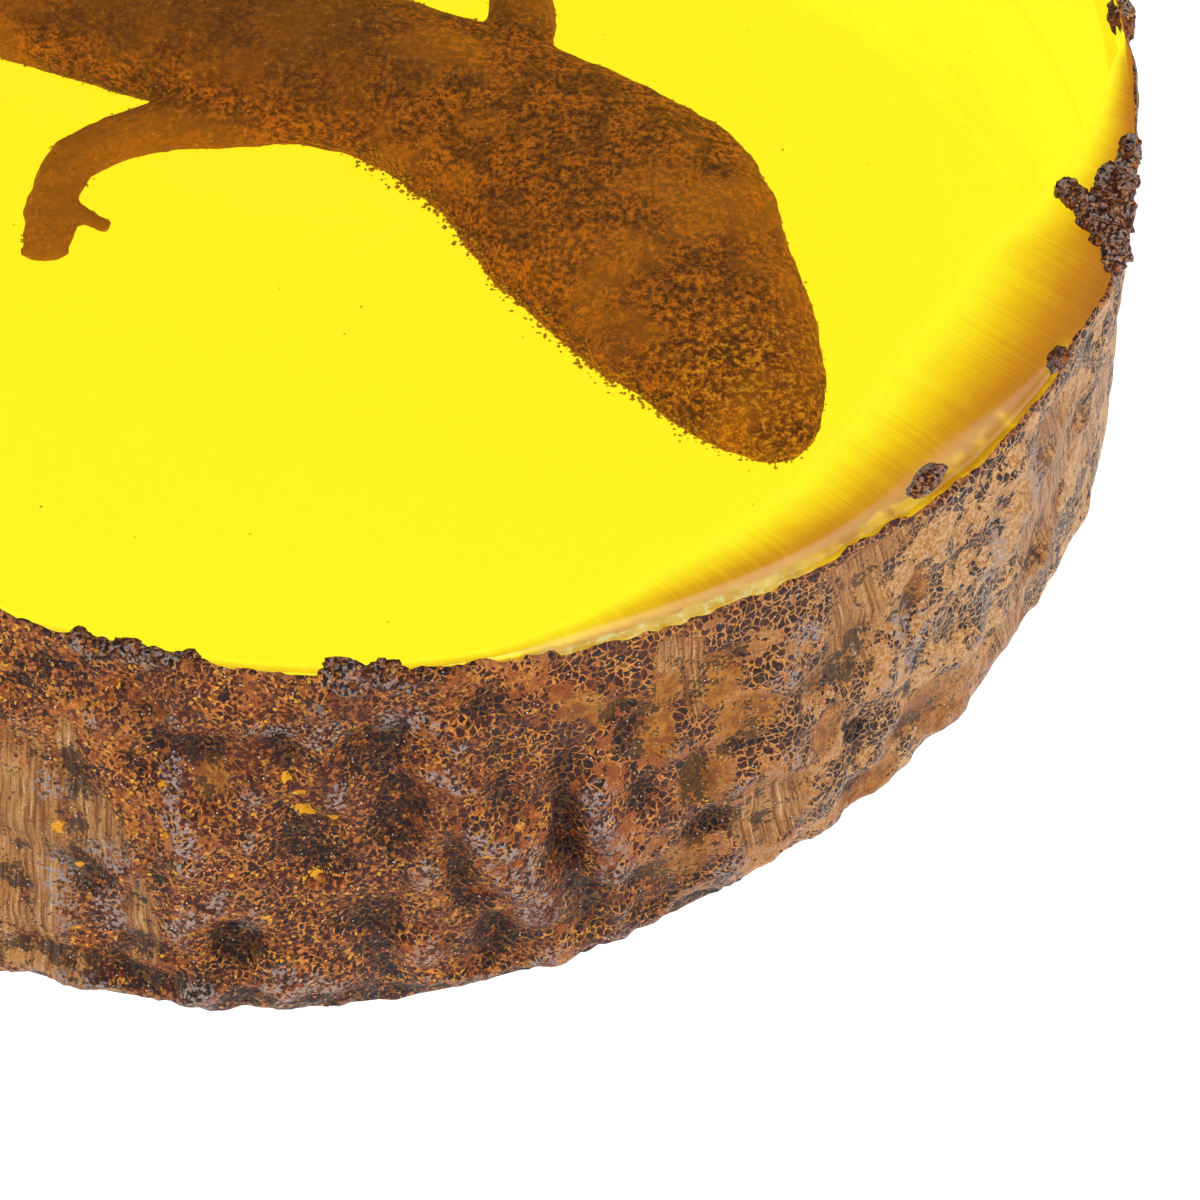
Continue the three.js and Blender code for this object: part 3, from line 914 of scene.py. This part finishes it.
# Cells of the plates and of the grains to a millimetre, and the width of the cracks between plates
PLATE_CELLS = 2.0
GRAIN_CELLS = 5.0
CRACK_WIDTHS = (0.05, 0.15)
CRUST_BUMP = 0.32

# Where each patch of the crust begins and is full, and how ragged its edge is
PATCH_EDGES = {
    "scrape": (0.36, 0.46, 1.0),
    "honey": (0.42, 0.52, 1.1),
    "tar": (0.45, 0.62, 3.5),
    "frost": (0.3, 0.9, 1.2),
    "gold": (0.5, 0.6, 1.6),
    # The hollows carry painted shade
    "hollow": (0.5, 0.75, 3.5),
}

# Colours of the crust. A pair is mixed by a noise, or by each cell's own number
AMBER = ((0.34, 0.085, 0.016), (0.82, 0.31, 0.050))
PALE_AMBER = ((0.50, 0.21, 0.050), (0.78, 0.46, 0.21))
PLATE = ((0.020, 0.007, 0.009), (0.130, 0.027, 0.012))
GREY_PLATE = (0.038, 0.026, 0.029)
GRAIN = ((0.060, 0.013, 0.008), (0.72, 0.23, 0.040))
PAINTED_GRAIN_GLINT = (0.95, 0.46, 0.04)
RUST = (0.13, 0.026, 0.010)
HONEY = ((0.27, 0.075, 0.010), (0.56, 0.22, 0.030))
SCRAPED = ((0.24, 0.075, 0.018), (0.56, 0.26, 0.075))
SCRAPED_STREAK = (0.78, 0.56, 0.34)
# Dark tar colour, also used as painted shade in the hollows
TAR_AND_SHADE_BLACK = (0.016, 0.012, 0.016)
TAR_AND_SHADE_DIMMING = (0.18, 0.20, 0.32)
FROSTING = (0.40, 0.31, 0.29)
PAINTED_GOLD_GLINT = (0.95, 0.42, 0.02)
# White specks of painted highlight
PAINTED_HIGHLIGHT = (0.85, 0.70, 0.56)


def crust_marks(paint):
    """The noises and the ragged-edged patches that the crust's colours are made of."""
    p = paint.position
    marks = {
        "broad": paint.noise(p, 0.25, 2),
        "medium": paint.noise(p, 0.9, 3, 0.6),
        "fine": paint.noise(p, 3.5, 3, 0.65),
        "beige": paint.field("beige"),
    }
    for name, (low, high, ragged) in PATCH_EDGES.items():
        edge = paint.sway(paint.field(name), marks["medium"], ragged)
        edge = paint.sway(edge, marks["fine"], ragged)
        marks[name] = paint.step(edge, low, high)
    return marks


def crackle(paint, marks):
    """Dark plates with amber in the cracks between them, and a random number for each plate."""
    medium, beige = marks["medium"], marks["beige"]
    warped = paint.shift(paint.position, 0.7, 1.2)
    _, pick, plate_tint = paint.cells(warped, PLATE_CELLS)
    gap = paint.cell_edges(warped, PLATE_CELLS)

    # Plates lie close where the cover is dense, and in clusters where it is thin
    cover = paint.sway(paint.field("cover"), marks["broad"], paint.step(beige, 0.0, 1.0, 2.2, 4.5))
    cover = paint.sway(cover, medium, 2.6)
    # More dark plates gather in the hollows, as painted shade
    cover = paint.plus(cover, marks["hollow"], 0.4)
    present = paint.step(paint.plus(cover, pick, -0.35), 0.3, 0.36)
    crack = paint.step(medium, 0.35, 0.65, *CRACK_WIDTHS)
    plate = paint.times(present, paint.step(gap, paint.times(crack, 0.4), crack))
    bare = paint.math("MAXIMUM", marks["scrape"], marks["honey"])
    plate = paint.times(plate, paint.math("SUBTRACT", 1.0, bare))

    amber = paint.blend(medium, (0.4, 0.62), AMBER)
    amber = paint.mix(beige, amber, paint.blend(marks["fine"], (0.4, 0.6), PALE_AMBER))
    greyish = paint.math("MAXIMUM", paint.step(marks["broad"], 0.45, 0.6, 0.0, 0.6), beige)
    dark = paint.mix(greyish, paint.mix(plate_tint, *PLATE), GREY_PLATE)
    return paint.mix(plate, amber, dark), plate_tint


def graining(paint, colour, grain_pick, grain_tint):
    """Small grains over the colour, thickest where the crust is grainy, a few of them painted golden
    glints, and rusty places.
    """
    grains = paint.blend(grain_tint, (0.3, 0.95), GRAIN)
    # A few grains are painted golden glints of light
    grains = paint.mix(paint.step(grain_tint, 0.94, 0.96), grains, PAINTED_GRAIN_GLINT)
    share = paint.times(paint.step(grain_pick, 0.4, 0.5), paint.field("grainy"))
    colour = paint.mix(share, colour, grains)
    return paint.mix(paint.times(paint.field("red"), 0.5), colour, RUST)


def bare_places(paint, marks, colour, plate_tint):
    """Honey patches, scraped ones streaked up the side, dark tar, and painted shade in the hollows."""
    up = paint.field("up")
    lean = paint.plus(paint.field("round"), paint.times(up, 0.3), marks["beige"])
    streak_place = paint.join(paint.times(lean, 3.2), paint.times(up, 0.16))
    streaks = paint.noise(streak_place, 1.0, 4, 0.75)
    colour = paint.mix(marks["honey"], colour, paint.blend(marks["medium"], (0.35, 0.65), HONEY))
    scraped = paint.blend(streaks, (0.4, 0.58), SCRAPED)
    scraped = paint.mix(paint.step(streaks, 0.58, 0.68, 0.0, 0.75), scraped, SCRAPED_STREAK)
    colour = paint.mix(marks["scrape"], colour, scraped)
    # Tar patches turn dark, and the hollows take the same dark colour as painted shade
    tar_and_shade = paint.mix(plate_tint, TAR_AND_SHADE_BLACK, paint.mix(1.0, colour, TAR_AND_SHADE_DIMMING, "MULTIPLY"))
    return paint.mix(paint.times(paint.math("MAXIMUM", marks["tar"], marks["hollow"]), 0.85), colour, tar_and_shade)


def glints(paint, marks, colour, grains):
    """Pale frosting, painted golden glints, and white specks that are painted highlights."""
    grain_middle, grain_pick, grain_tint = grains
    frosted = paint.times(marks["frost"], paint.step(grain_tint, 0.55, 0.7, 0.0, 0.85))
    colour = paint.mix(frosted, colour, FROSTING)
    # Painted golden glints of light
    colour = paint.mix(marks["gold"], colour, PAINTED_GOLD_GLINT)
    # Painted highlights: small white specks on some grains
    painted_highlight = paint.times(paint.step(grain_middle, 0.35, 0.2), paint.step(grain_pick, 0.92, 0.93))
    return paint.mix(paint.times(painted_highlight, paint.step(marks["fine"], 0.4, 0.6)), colour, PAINTED_HIGHLIGHT)


def paint_crust():
    paint = Paint("crackled_crust")
    marks = crust_marks(paint)
    grains = paint.cells(paint.position, GRAIN_CELLS)
    colour, plate_tint = crackle(paint, marks)
    colour = graining(paint, colour, *grains[1:])
    colour = bare_places(paint, marks, colour, plate_tint)
    colour = glints(paint, marks, colour, grains)
    lifted = paint.plus(marks["fine"], grains[0], -0.5)
    paint.set(Base_Color=colour, Normal=paint.bump(lifted, CRUST_BUMP), Specular_IOR_Level=0.18)
    paint.set(Roughness=paint.step(marks["fine"], 0.3, 0.7, 0.28, 0.5))
    return paint.material


# Painted light and shade on the crust's inner wall, which glows though it is no lamp: brown painted
# shade, then ochre, then yellow painted light. Past the shade it matches the lit floor seen through the
# same depth of resin. Green and blue are e to a power there: its rise for each millimetre of depth, and its
# start at the upper face
PAINTED_SHADE_BROWN = (0.40, 0.14, 0.012)
PAINTED_SHADE_OCHRE = (0.58, 0.24, 0.006)
PAINTED_LIGHT_YELLOW = (0.88, 0.62, 0.006)
GREEN_GLOW = (0.0071, -0.07)
BLUE_GLOW = (0.165, -4.2)
WALL_GLOW = 0.95

# Colours of the ground slope, glowing as painted light on the inner wall: milky in the front, honey at the
# right
MILKY = ((0.58, 0.33, 0.02), (0.74, 0.54, 0.10))
MILKY_PATCH = (0.66, 0.60, 0.24)
SLOPE_HONEY = ((0.46, 0.21, 0.002), (0.70, 0.42, 0.004))


def paint_inner_wall():
    """The crust's inner wall seen through the resin, glowing with painted light and brown painted shade."""
    paint = Paint("crust_wall_painted_glow")
    p = paint.position
    medium = paint.noise(p, 0.5, 3)
    along = paint.join(paint.times(paint.field("polish"), 4.5), paint.times(medium, 0.5))
    painted_shade = paint.sway(paint.field("painted_shade"), paint.noise(along, 1.0, 2, 0.6), 0.3)
    painted_shade = paint.sway(painted_shade, medium, 0.15)

    depth = paint.field("depth")
    green, blue = (
        paint.math("EXPONENT", paint.plus(start, depth, rise)) for rise, start in (GREEN_GLOW, BLUE_GLOW)
    )
    # Brown painted shade near the rim, giving way to yellow painted light further in
    glow = paint.blend(painted_shade, (0.0, 0.45), (PAINTED_SHADE_BROWN, PAINTED_SHADE_OCHRE))
    glow = paint.mix(paint.step(painted_shade, 0.3, 0.9), glow, PAINTED_LIGHT_YELLOW)
    glow = paint.mix(paint.step(painted_shade, 0.7, 1.25), glow, paint.join(1.0, green, blue))

    milky = paint.blend(medium, (0.35, 0.65), MILKY)
    patch = paint.step(paint.noise(p, 1.8, 3, 0.6), 0.5, 0.6, 0.0, 0.7)
    milky = paint.mix(patch, milky, MILKY_PATCH)
    honey = paint.blend(medium, (0.4, 0.6), SLOPE_HONEY)
    glow = paint.mix(paint.field("band"), glow, paint.mix(paint.field("milky"), honey, milky))
    # The wall glows with its painted light and shade though it is no lamp, and is dim under the lamps
    paint.set(Base_Color=paint.mix(1.0, glow, (0.25, 0.25, 0.25), "MULTIPLY"), Roughness=0.8)
    paint.set(Emission_Color=glow, Emission_Strength=WALL_GLOW)
    paint.material.cycles.emission_sampling = "NONE"
    return paint.material


# Lizard: middle line stations of x, y, half width and half height, as in the CAD model, but for
# the foot of the near forelimb
BODY = (
    (25.3, -25.6, 1.3, 0.9),
    (25.1, -24.2, 2.7, 1.7),
    (24, -21.4, 4.4, 2.6),
    (21.9, -16.8, 6.1, 3.5),
    (19.4, -12.3, 7.5, 4.1),
    (16.8, -7.1, 8.8, 4.4),
    (14.3, -3.8, 8.4, 4.2),
    (10.4, 0.2, 7.3, 3.9),
    (4.3, 4.4, 6.3, 4.4),
    (-4, 8, 6.3, 5),
    (-13, 12, 6.4, 5),
    (-19.4, 15, 6.3, 4.8),
    (-23.9, 18.2, 5.6, 4.3),
    (-26.8, 22.2, 4.5, 3.6),
    (-27.4, 26, 3.3, 2.8),
    (-26.2, 29.7, 2.6, 2.3),
    (-22.6, 33.4, 2.2, 2),
    (-16, 36.8, 1.8, 1.6),
    (-8, 38.8, 1.4, 1.3),
    (0, 39.1, 1.1, 1),
    (7, 38.1, 0.8, 0.8),
    (12, 36.3, 0.5, 0.5),
)
NEAR_FORELIMB = (
    (1, 3.6, 3.2, 2.4),
    (-6, 2.6, 2.4, 2.1),
    (-11, 1.9, 1.9, 1.8),
    (-15.4, -0.2, 1.7, 1.6),
    (-16.7, -3.2, 1.5, 1.4),
    (-16.8, -5.6, 1.7, 1.2),
    (-16.9, -7.6, 1.3, 0.9),
)
FAR_FORELIMB = (
    (8.6, 4, 3, 2.4),
    (10.5, 9, 2.2, 2.1),
    (10.5, 13, 1.9, 1.8),
    (11.4, 16.8, 1.6, 1.6),
    (14.6, 19.4, 1.3, 1.3),
    (17, 21, 1.9, 1.2),
)
NEAR_HIND_LIMB = (
    (-24, 18.4, 3.2, 2.8),
    (-28.6, 13.4, 2.9, 2.5),
    (-32.2, 8.2, 2.4, 2),
    (-32.6, 3.6, 1.7, 1.6),
    (-32.2, -1.6, 1.5, 1.3),
    (-32.4, -4.8, 2, 1.2),
)
FAR_HIND_LIMB = (
    (-25, 21, 3.2, 2.8),
    (-20, 25, 2.8, 2.4),
    (-14.6, 27.6, 2.3, 2),
    (-10, 26.3, 1.7, 1.6),
    (-4.8, 25.2, 1.5, 1.3),
    (-1.8, 25.8, 2, 1.2),
)
THUMB = ((-16.0, -4.4, 0.8, 0.7), (-13.4, -6.2, 0.45, 0.5))

# Each limb with its toes: heading, spread, length, thickness and count
LIMBS = (
    (NEAR_FORELIMB, (-93, 12, 1.4, 0.42, 4)),
    (FAR_FORELIMB, (32, 95, 3.8, 0.5, 5)),
    (NEAR_HIND_LIMB, (-92, 105, 4.4, 0.52, 5)),
    (FAR_HIND_LIMB, (12, 105, 4.4, 0.52, 5)),
)
TOE_ROOT = 0.5
TOES_ABREAST = 1.5
SHORTER_SIDE_TOES = 0.6

# Bulging eyes: x, y, radius, and how far above the parting they lie
EYES = ((24.5, -13.6, 2.0, 1.4), (16.6, -18.0, 2.0, 1.4))

# Sides of the tubes, the mesh of the fused body, and its wrinkles
BODY_SIDES = 32
LIMB_SIDES = 20
THUMB_SIDES = 12
TOE_SIDES = 10
STATION_STEP = 0.5
VOXEL = 0.3
WRINKLE = 0.16
FINE_WRINKLE = 0.09

# Loose flakes of skin, most of them on the near side of the head, and specks in the resin
FLAKES = 1900
FLAKED_SIDE = (-0.6, -0.8, 0)
OTHER_SIDE_SHARE = 0.25
SPECKS = 60
SPECK_RADIUS = 43
SPECK_HEIGHTS = (22, 27)
OCTAHEDRON = ((1, 0, 0), (0, 1, 0), (-1, 0, 0), (0, -1, 0), (0, 0, 1), (0, 0, -1))


def parting_height(x):
    return PARTING_HEIGHT + PARTING_RISE * x


def smooth_line(stations, step):
    """Stations at close steps on a smooth curve through the given ones."""
    stations = np.asarray(stations, float)
    before = 2 * stations[0] - stations[1]
    after = 2 * stations[-1] - stations[-2]
    padded = np.concatenate([[before], stations, [after]])
    line = []
    for a, b, c, d in zip(padded, padded[1:], padded[2:], padded[3:]):
        count = max(2, int(np.linalg.norm(c[:2] - b[:2]) / step))
        line.extend(curve(a, b, c, d, t) for t in np.arange(count) / count)
    line.append(stations[-1])
    return np.array(line)


def add_tube(body, stations, sides):
    """Adds a closed tube along smooth stations to a bmesh."""
    line = smooth_line(stations, STATION_STEP)
    heading = np.gradient(line[:, :2], axis=0)
    heading /= np.linalg.norm(heading, axis=1)[:, None]
    angles = np.arange(sides) * 2 * np.pi / sides
    rings = []
    for (x, y, half_width, half_height), (heading_x, heading_y) in zip(line, heading):
        across = np.cos(angles) * half_width
        xs, ys = x - heading_y * across, y + heading_x * across
        zs = parting_height(xs) + np.sin(angles) * half_height
        rings.append([body.verts.new(p) for p in zip(xs, ys, zs)])
    for ring, following in zip(rings, rings[1:]):
        for i in range(sides):
            j = (i + 1) % sides
            body.faces.new((ring[i], following[i], following[j], ring[j]))
    body.faces.new(rings[0])
    body.faces.new(list(reversed(rings[-1])))


def toe_lines(limb, toes):
    """The two ends of each toe, fanned out from the limb's last station."""
    x, y, palm, _ = limb[-1]
    heading, spread, length, thick, count = toes
    ahead = math.radians(heading)
    for n in range(count):
        share = n / (count - 1) - 0.5
        turn = ahead + math.radians(spread * share)
        reach = length * (1 - SHORTER_SIDE_TOES * share * share)
        abreast = TOES_ABREAST * palm * share
        root_x = x - abreast * math.sin(ahead) - TOE_ROOT * math.cos(turn)
        root_y = y + abreast * math.cos(ahead) - TOE_ROOT * math.sin(turn)
        tip = (root_x + reach * math.cos(turn), root_y + reach * math.sin(turn))
        yield ((root_x, root_y, thick, thick), (*tip, thick, thick))


def add_body_parts(body):
    """Adds the trunk with head and tail, the limbs with their toes, and the eyes to a bmesh."""
    add_tube(body, BODY, BODY_SIDES)
    add_tube(body, THUMB, THUMB_SIDES)
    for limb, toes in LIMBS:
        add_tube(body, limb, LIMB_SIDES)
        for line in toe_lines(limb, toes):
            add_tube(body, line, TOE_SIDES)
    for x, y, size, rise in EYES:
        ball = bmesh.ops.create_icosphere(body, subdivisions=3, radius=size)
        place = Vector((x, y, parting_height(x) + rise))
        bmesh.ops.translate(body, verts=ball["verts"], vec=place)


def fuse_body(body):
    """One closed, softened mesh from a bmesh of overlapping tubes and balls in millimetres."""
    bmesh.ops.scale(body, vec=(MM, MM, MM), verts=body.verts)
    bmesh.ops.recalc_face_normals(body, faces=body.faces)
    rough_mesh = bpy.data.meshes.new("lizard_rough")
    body.to_mesh(rough_mesh)
    body.free()
    rough_body = bpy.data.objects.new("lizard_rough", rough_mesh)
    bpy.context.scene.collection.objects.link(rough_body)
    remesh = rough_body.modifiers.new("fuse", "REMESH")
    remesh.mode = "VOXEL"
    remesh.voxel_size = VOXEL * MM
    smooth = rough_body.modifiers.new("soften", "SMOOTH")
    smooth.factor = 0.5
    smooth.iterations = 3
    bpy.context.view_layer.update()
    evaluated = rough_body.evaluated_get(bpy.context.evaluated_depsgraph_get())
    fused = bpy.data.meshes.new_from_object(evaluated)
    bpy.data.objects.remove(rough_body)
    bpy.data.meshes.remove(rough_mesh)
    return fused


def read_points(mesh, what):
    """Three numbers for each point of a mesh, as rows of an array."""
    values = np.zeros(len(mesh.vertices) * 3)
    mesh.vertices.foreach_get(what, values)
    return values.reshape(-1, 3)


def skin_flakes(points, normals, rng):
    """Corners of the flakes strewn along the lizard's outline."""
    side = np.flatnonzero((np.abs(normals[:, 2]) < 0.5) & (points[:, 0] < 30))
    flakes = []
    while len(flakes) < FLAKES:
        at = side[rng.randrange(len(side))]
        x, y, _ = points[at]
        flaked = normals[at] @ FLAKED_SIDE > 0.4 and x > 1 and y < 3
        if not flaked and rng.random() > OTHER_SIDE_SHARE:
            continue
        reach = rng.uniform(-0.1, 0.9 if flaked else 0.25) * rng.random()
        size = rng.uniform(0.05, 0.17 if flaked else 0.11)
        stretch = [rng.uniform(0.6, 1.4) for _ in range(3)]
        flakes.append(points[at] + normals[at] * reach + np.array(OCTAHEDRON) * stretch * size)
    return flakes


def specks(rng):
    """Corners of the specks of dust in the resin above the lizard."""
    for _ in range(SPECKS):
        turn, radius = rng.uniform(0, 360), SPECK_RADIUS * math.sqrt(rng.random())
        middle = spot(turn, radius, rng.uniform(*SPECK_HEIGHTS))
        yield middle + np.array(OCTAHEDRON) * rng.uniform(0.04, 0.10)


def lizard_fields(points, body_count):
    """What the lizard's material reads at each point: the body's points come before the flakes'."""
    off = np.full(len(points), 99.0)
    for x, y, half_width, _ in smooth_line(BODY, 1.0):
        off = np.minimum(off, distance(points, x, y) / half_width)
    snout = distance(points, *BODY[2][:2])
    return {
        "snout": smoothstep((9 - snout) / 7),
        "flake": np.arange(len(points)) >= body_count,
        "trunk": smoothstep((8 - points[:, 0]) / 9) * smoothstep((1.0 - off) / 0.4),
        "limb": smoothstep((off - 0.9) / 0.5),
    }


def make_lizard():
    body = bmesh.new()
    add_body_parts(body)
    fused = fuse_body(body)
    points = read_points(fused, "co") / MM
    normals = read_points(fused, "normal")
    faces = [tuple(face.vertices) for face in fused.polygons]
    bpy.data.meshes.remove(fused)
    wrinkle = WRINKLE * turbulence(points, 2.4, 3) + FINE_WRINKLE * turbulence(points, 0.8, 2, 11)
    points = points + normals * wrinkle[:, None]

    rng = random.Random(SEED)
    body_count = len(points)
    flake_faces = [(i, (i + 1) % 4, 4) for i in range(4)] + [((i + 1) % 4, i, 5) for i in range(4)]
    flakes = [*skin_flakes(points, normals, rng), *specks(rng)]
    for n in range(len(flakes)):
        faces.extend(shifted(flake_faces, body_count + len(OCTAHEDRON) * n))
    points = np.concatenate([points, *flakes])

    lizard = make_object("lizard_body", points, faces)
    set_fields(lizard, lizard_fields(points, body_count))
    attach(lizard, "root")
    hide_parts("lizard")
    return lizard


# Colours of the dried skin
SKIN = ((0.12, 0.030, 0.001), (0.86, 0.250, 0.002))
DARK_BLOTCH = (0.085, 0.021, 0.001)
PALE_BLOTCH = (0.88, 0.30, 0.004)
TRUNK_BROWN = (0.15, 0.038, 0.006)
LIMB_BROWN = (0.66, 0.24, 0.003)
FLECK = (1.0, 0.52, 0.03)
FLAKE = (1.0, 0.55, 0.02)


def paint_lizard():
    """Speckled brown skin with broad blotches, plainer on the trunk and paler on the limbs."""
    paint = Paint("dried_lizard")
    p = paint.position
    broad = paint.noise(p, 0.14, 3)
    blotch = paint.noise(p, 0.5, 4, 0.65)
    speckle = paint.noise(p, 2.6, 4, 0.75)
    colour = paint.blend(speckle, (0.4, 0.6), SKIN)
    colour = paint.mix(paint.step(blotch, 0.36, 0.56, 0.6, 0.0), colour, DARK_BLOTCH)
    colour = paint.mix(paint.step(broad, 0.45, 0.65, 0.0, 0.45), colour, PALE_BLOTCH)
    colour = paint.mix(paint.times(paint.field("trunk"), 0.55), colour, TRUNK_BROWN)
    colour = paint.mix(paint.times(paint.field("limb"), 0.6), colour, LIMB_BROWN)
    flecks = paint.plus(speckle, paint.field("snout"), 0.10)
    colour = paint.mix(paint.step(flecks, 0.62, 0.70, 0.0, 0.8), colour, FLECK)
    colour = paint.mix(paint.times(paint.field("flake"), 0.75), colour, FLAKE)
    paint.set(Base_Color=colour, Roughness=0.7, Normal=paint.bump(speckle, 0.3))
    return paint.material


# Floor: a pale sheet lit from below, just under the slab
FLOOR_HALF = 3000
FLOOR_DROP = 0.3
FLOOR_GREY = (0.12, 0.12, 0.12)
FLOOR_GLOW = 1.15


def make_floor():
    corners = [(x * FLOOR_HALF, y * FLOOR_HALF, 0) for x, y in ((-1, -1), (1, -1), (1, 1), (-1, 1))]
    floor = make_object("floor", corners, [(0, 1, 2, 3)], [0])
    floor.location.z = -FLOOR_DROP * MM
    return floor


def paint_floor():
    paint = Paint("pale_floor")
    paint.set(Base_Color=FLOOR_GREY, Roughness=1.0)
    paint.set(Emission_Color=(1.0, 1.0, 1.0), Emission_Strength=FLOOR_GLOW)
    return paint.material


# Light: two broad soft lamps in front of the slab, in a dim room. Each lamp's direction,
# the cosine at which its edge lies, and its strength
ROOM = 0.12
LAMPS = (
    ((0.62, -0.42, 0.66), 0.70, 2.6),
    ((-0.62, -0.40, 0.68), 0.74, 2.0),
)


def make_world():
    world = bpy.data.worlds.new("studio")
    bpy.context.scene.world = world
    world.use_nodes = True
    nodes = Nodes(world.node_tree)
    direction = nodes.node("TexCoord").outputs["Generated"]
    glow = ROOM
    for toward, edge, strength in LAMPS:
        facing = nodes.node("VectorMath", operation="DOT_PRODUCT")
        nodes.feed_all((direction, Vector(toward).normalized()), facing.inputs)
        lit = nodes.step(facing.outputs["Value"], edge, 1.0, 0.0, strength)
        glow = nodes.math("ADD", lit, glow)
    nodes.wire(world.node_tree.nodes["Background"], Color=(1.0, 1.0, 1.0), Strength=glow)


# Camera: the photo's view of the upper face, fitted to the outline of the face
VIEW_ELEVATION = 50
VIEW_DISTANCE = 280.7
VIEW_TARGET = (15.3, -38.95, THICKNESS)
FOCAL_PIXELS = 5240
IMAGE_PIXELS = 1200
SENSOR = 36
NEAREST_SEEN = 10


def make_camera():
    lens = bpy.data.cameras.new("photo_view")
    lens.sensor_width = SENSOR
    lens.lens = FOCAL_PIXELS / IMAGE_PIXELS * SENSOR
    lens.clip_start = NEAREST_SEEN * MM
    camera = bpy.data.objects.new("photo_view", lens)
    elevation = math.radians(VIEW_ELEVATION)
    backward = Vector((0, -math.cos(elevation), math.sin(elevation)))
    camera.location = (Vector(VIEW_TARGET) + VIEW_DISTANCE * backward) * MM
    camera.rotation_euler = (math.radians(90 - VIEW_ELEVATION), 0, 0)
    bpy.context.scene.collection.objects.link(camera)
    bpy.context.scene.camera = camera


def set_light_paths():
    scene = bpy.context.scene
    scene.view_settings.view_transform = "Standard"
    scene.cycles.use_denoising = True
    scene.cycles.max_bounces = 6
    scene.cycles.diffuse_bounces = 1
    scene.cycles.glossy_bounces = 2
    scene.cycles.transmission_bounces = 6


def dress(obj, *materials):
    for material in materials:
        obj.data.materials.append(material)


dress(make_resin(), paint_resin())
dress(make_crust(), paint_crust(), paint_inner_wall())
dress(make_lizard(), paint_lizard())
dress(make_floor(), paint_floor())
make_world()
make_camera()
set_light_paths()
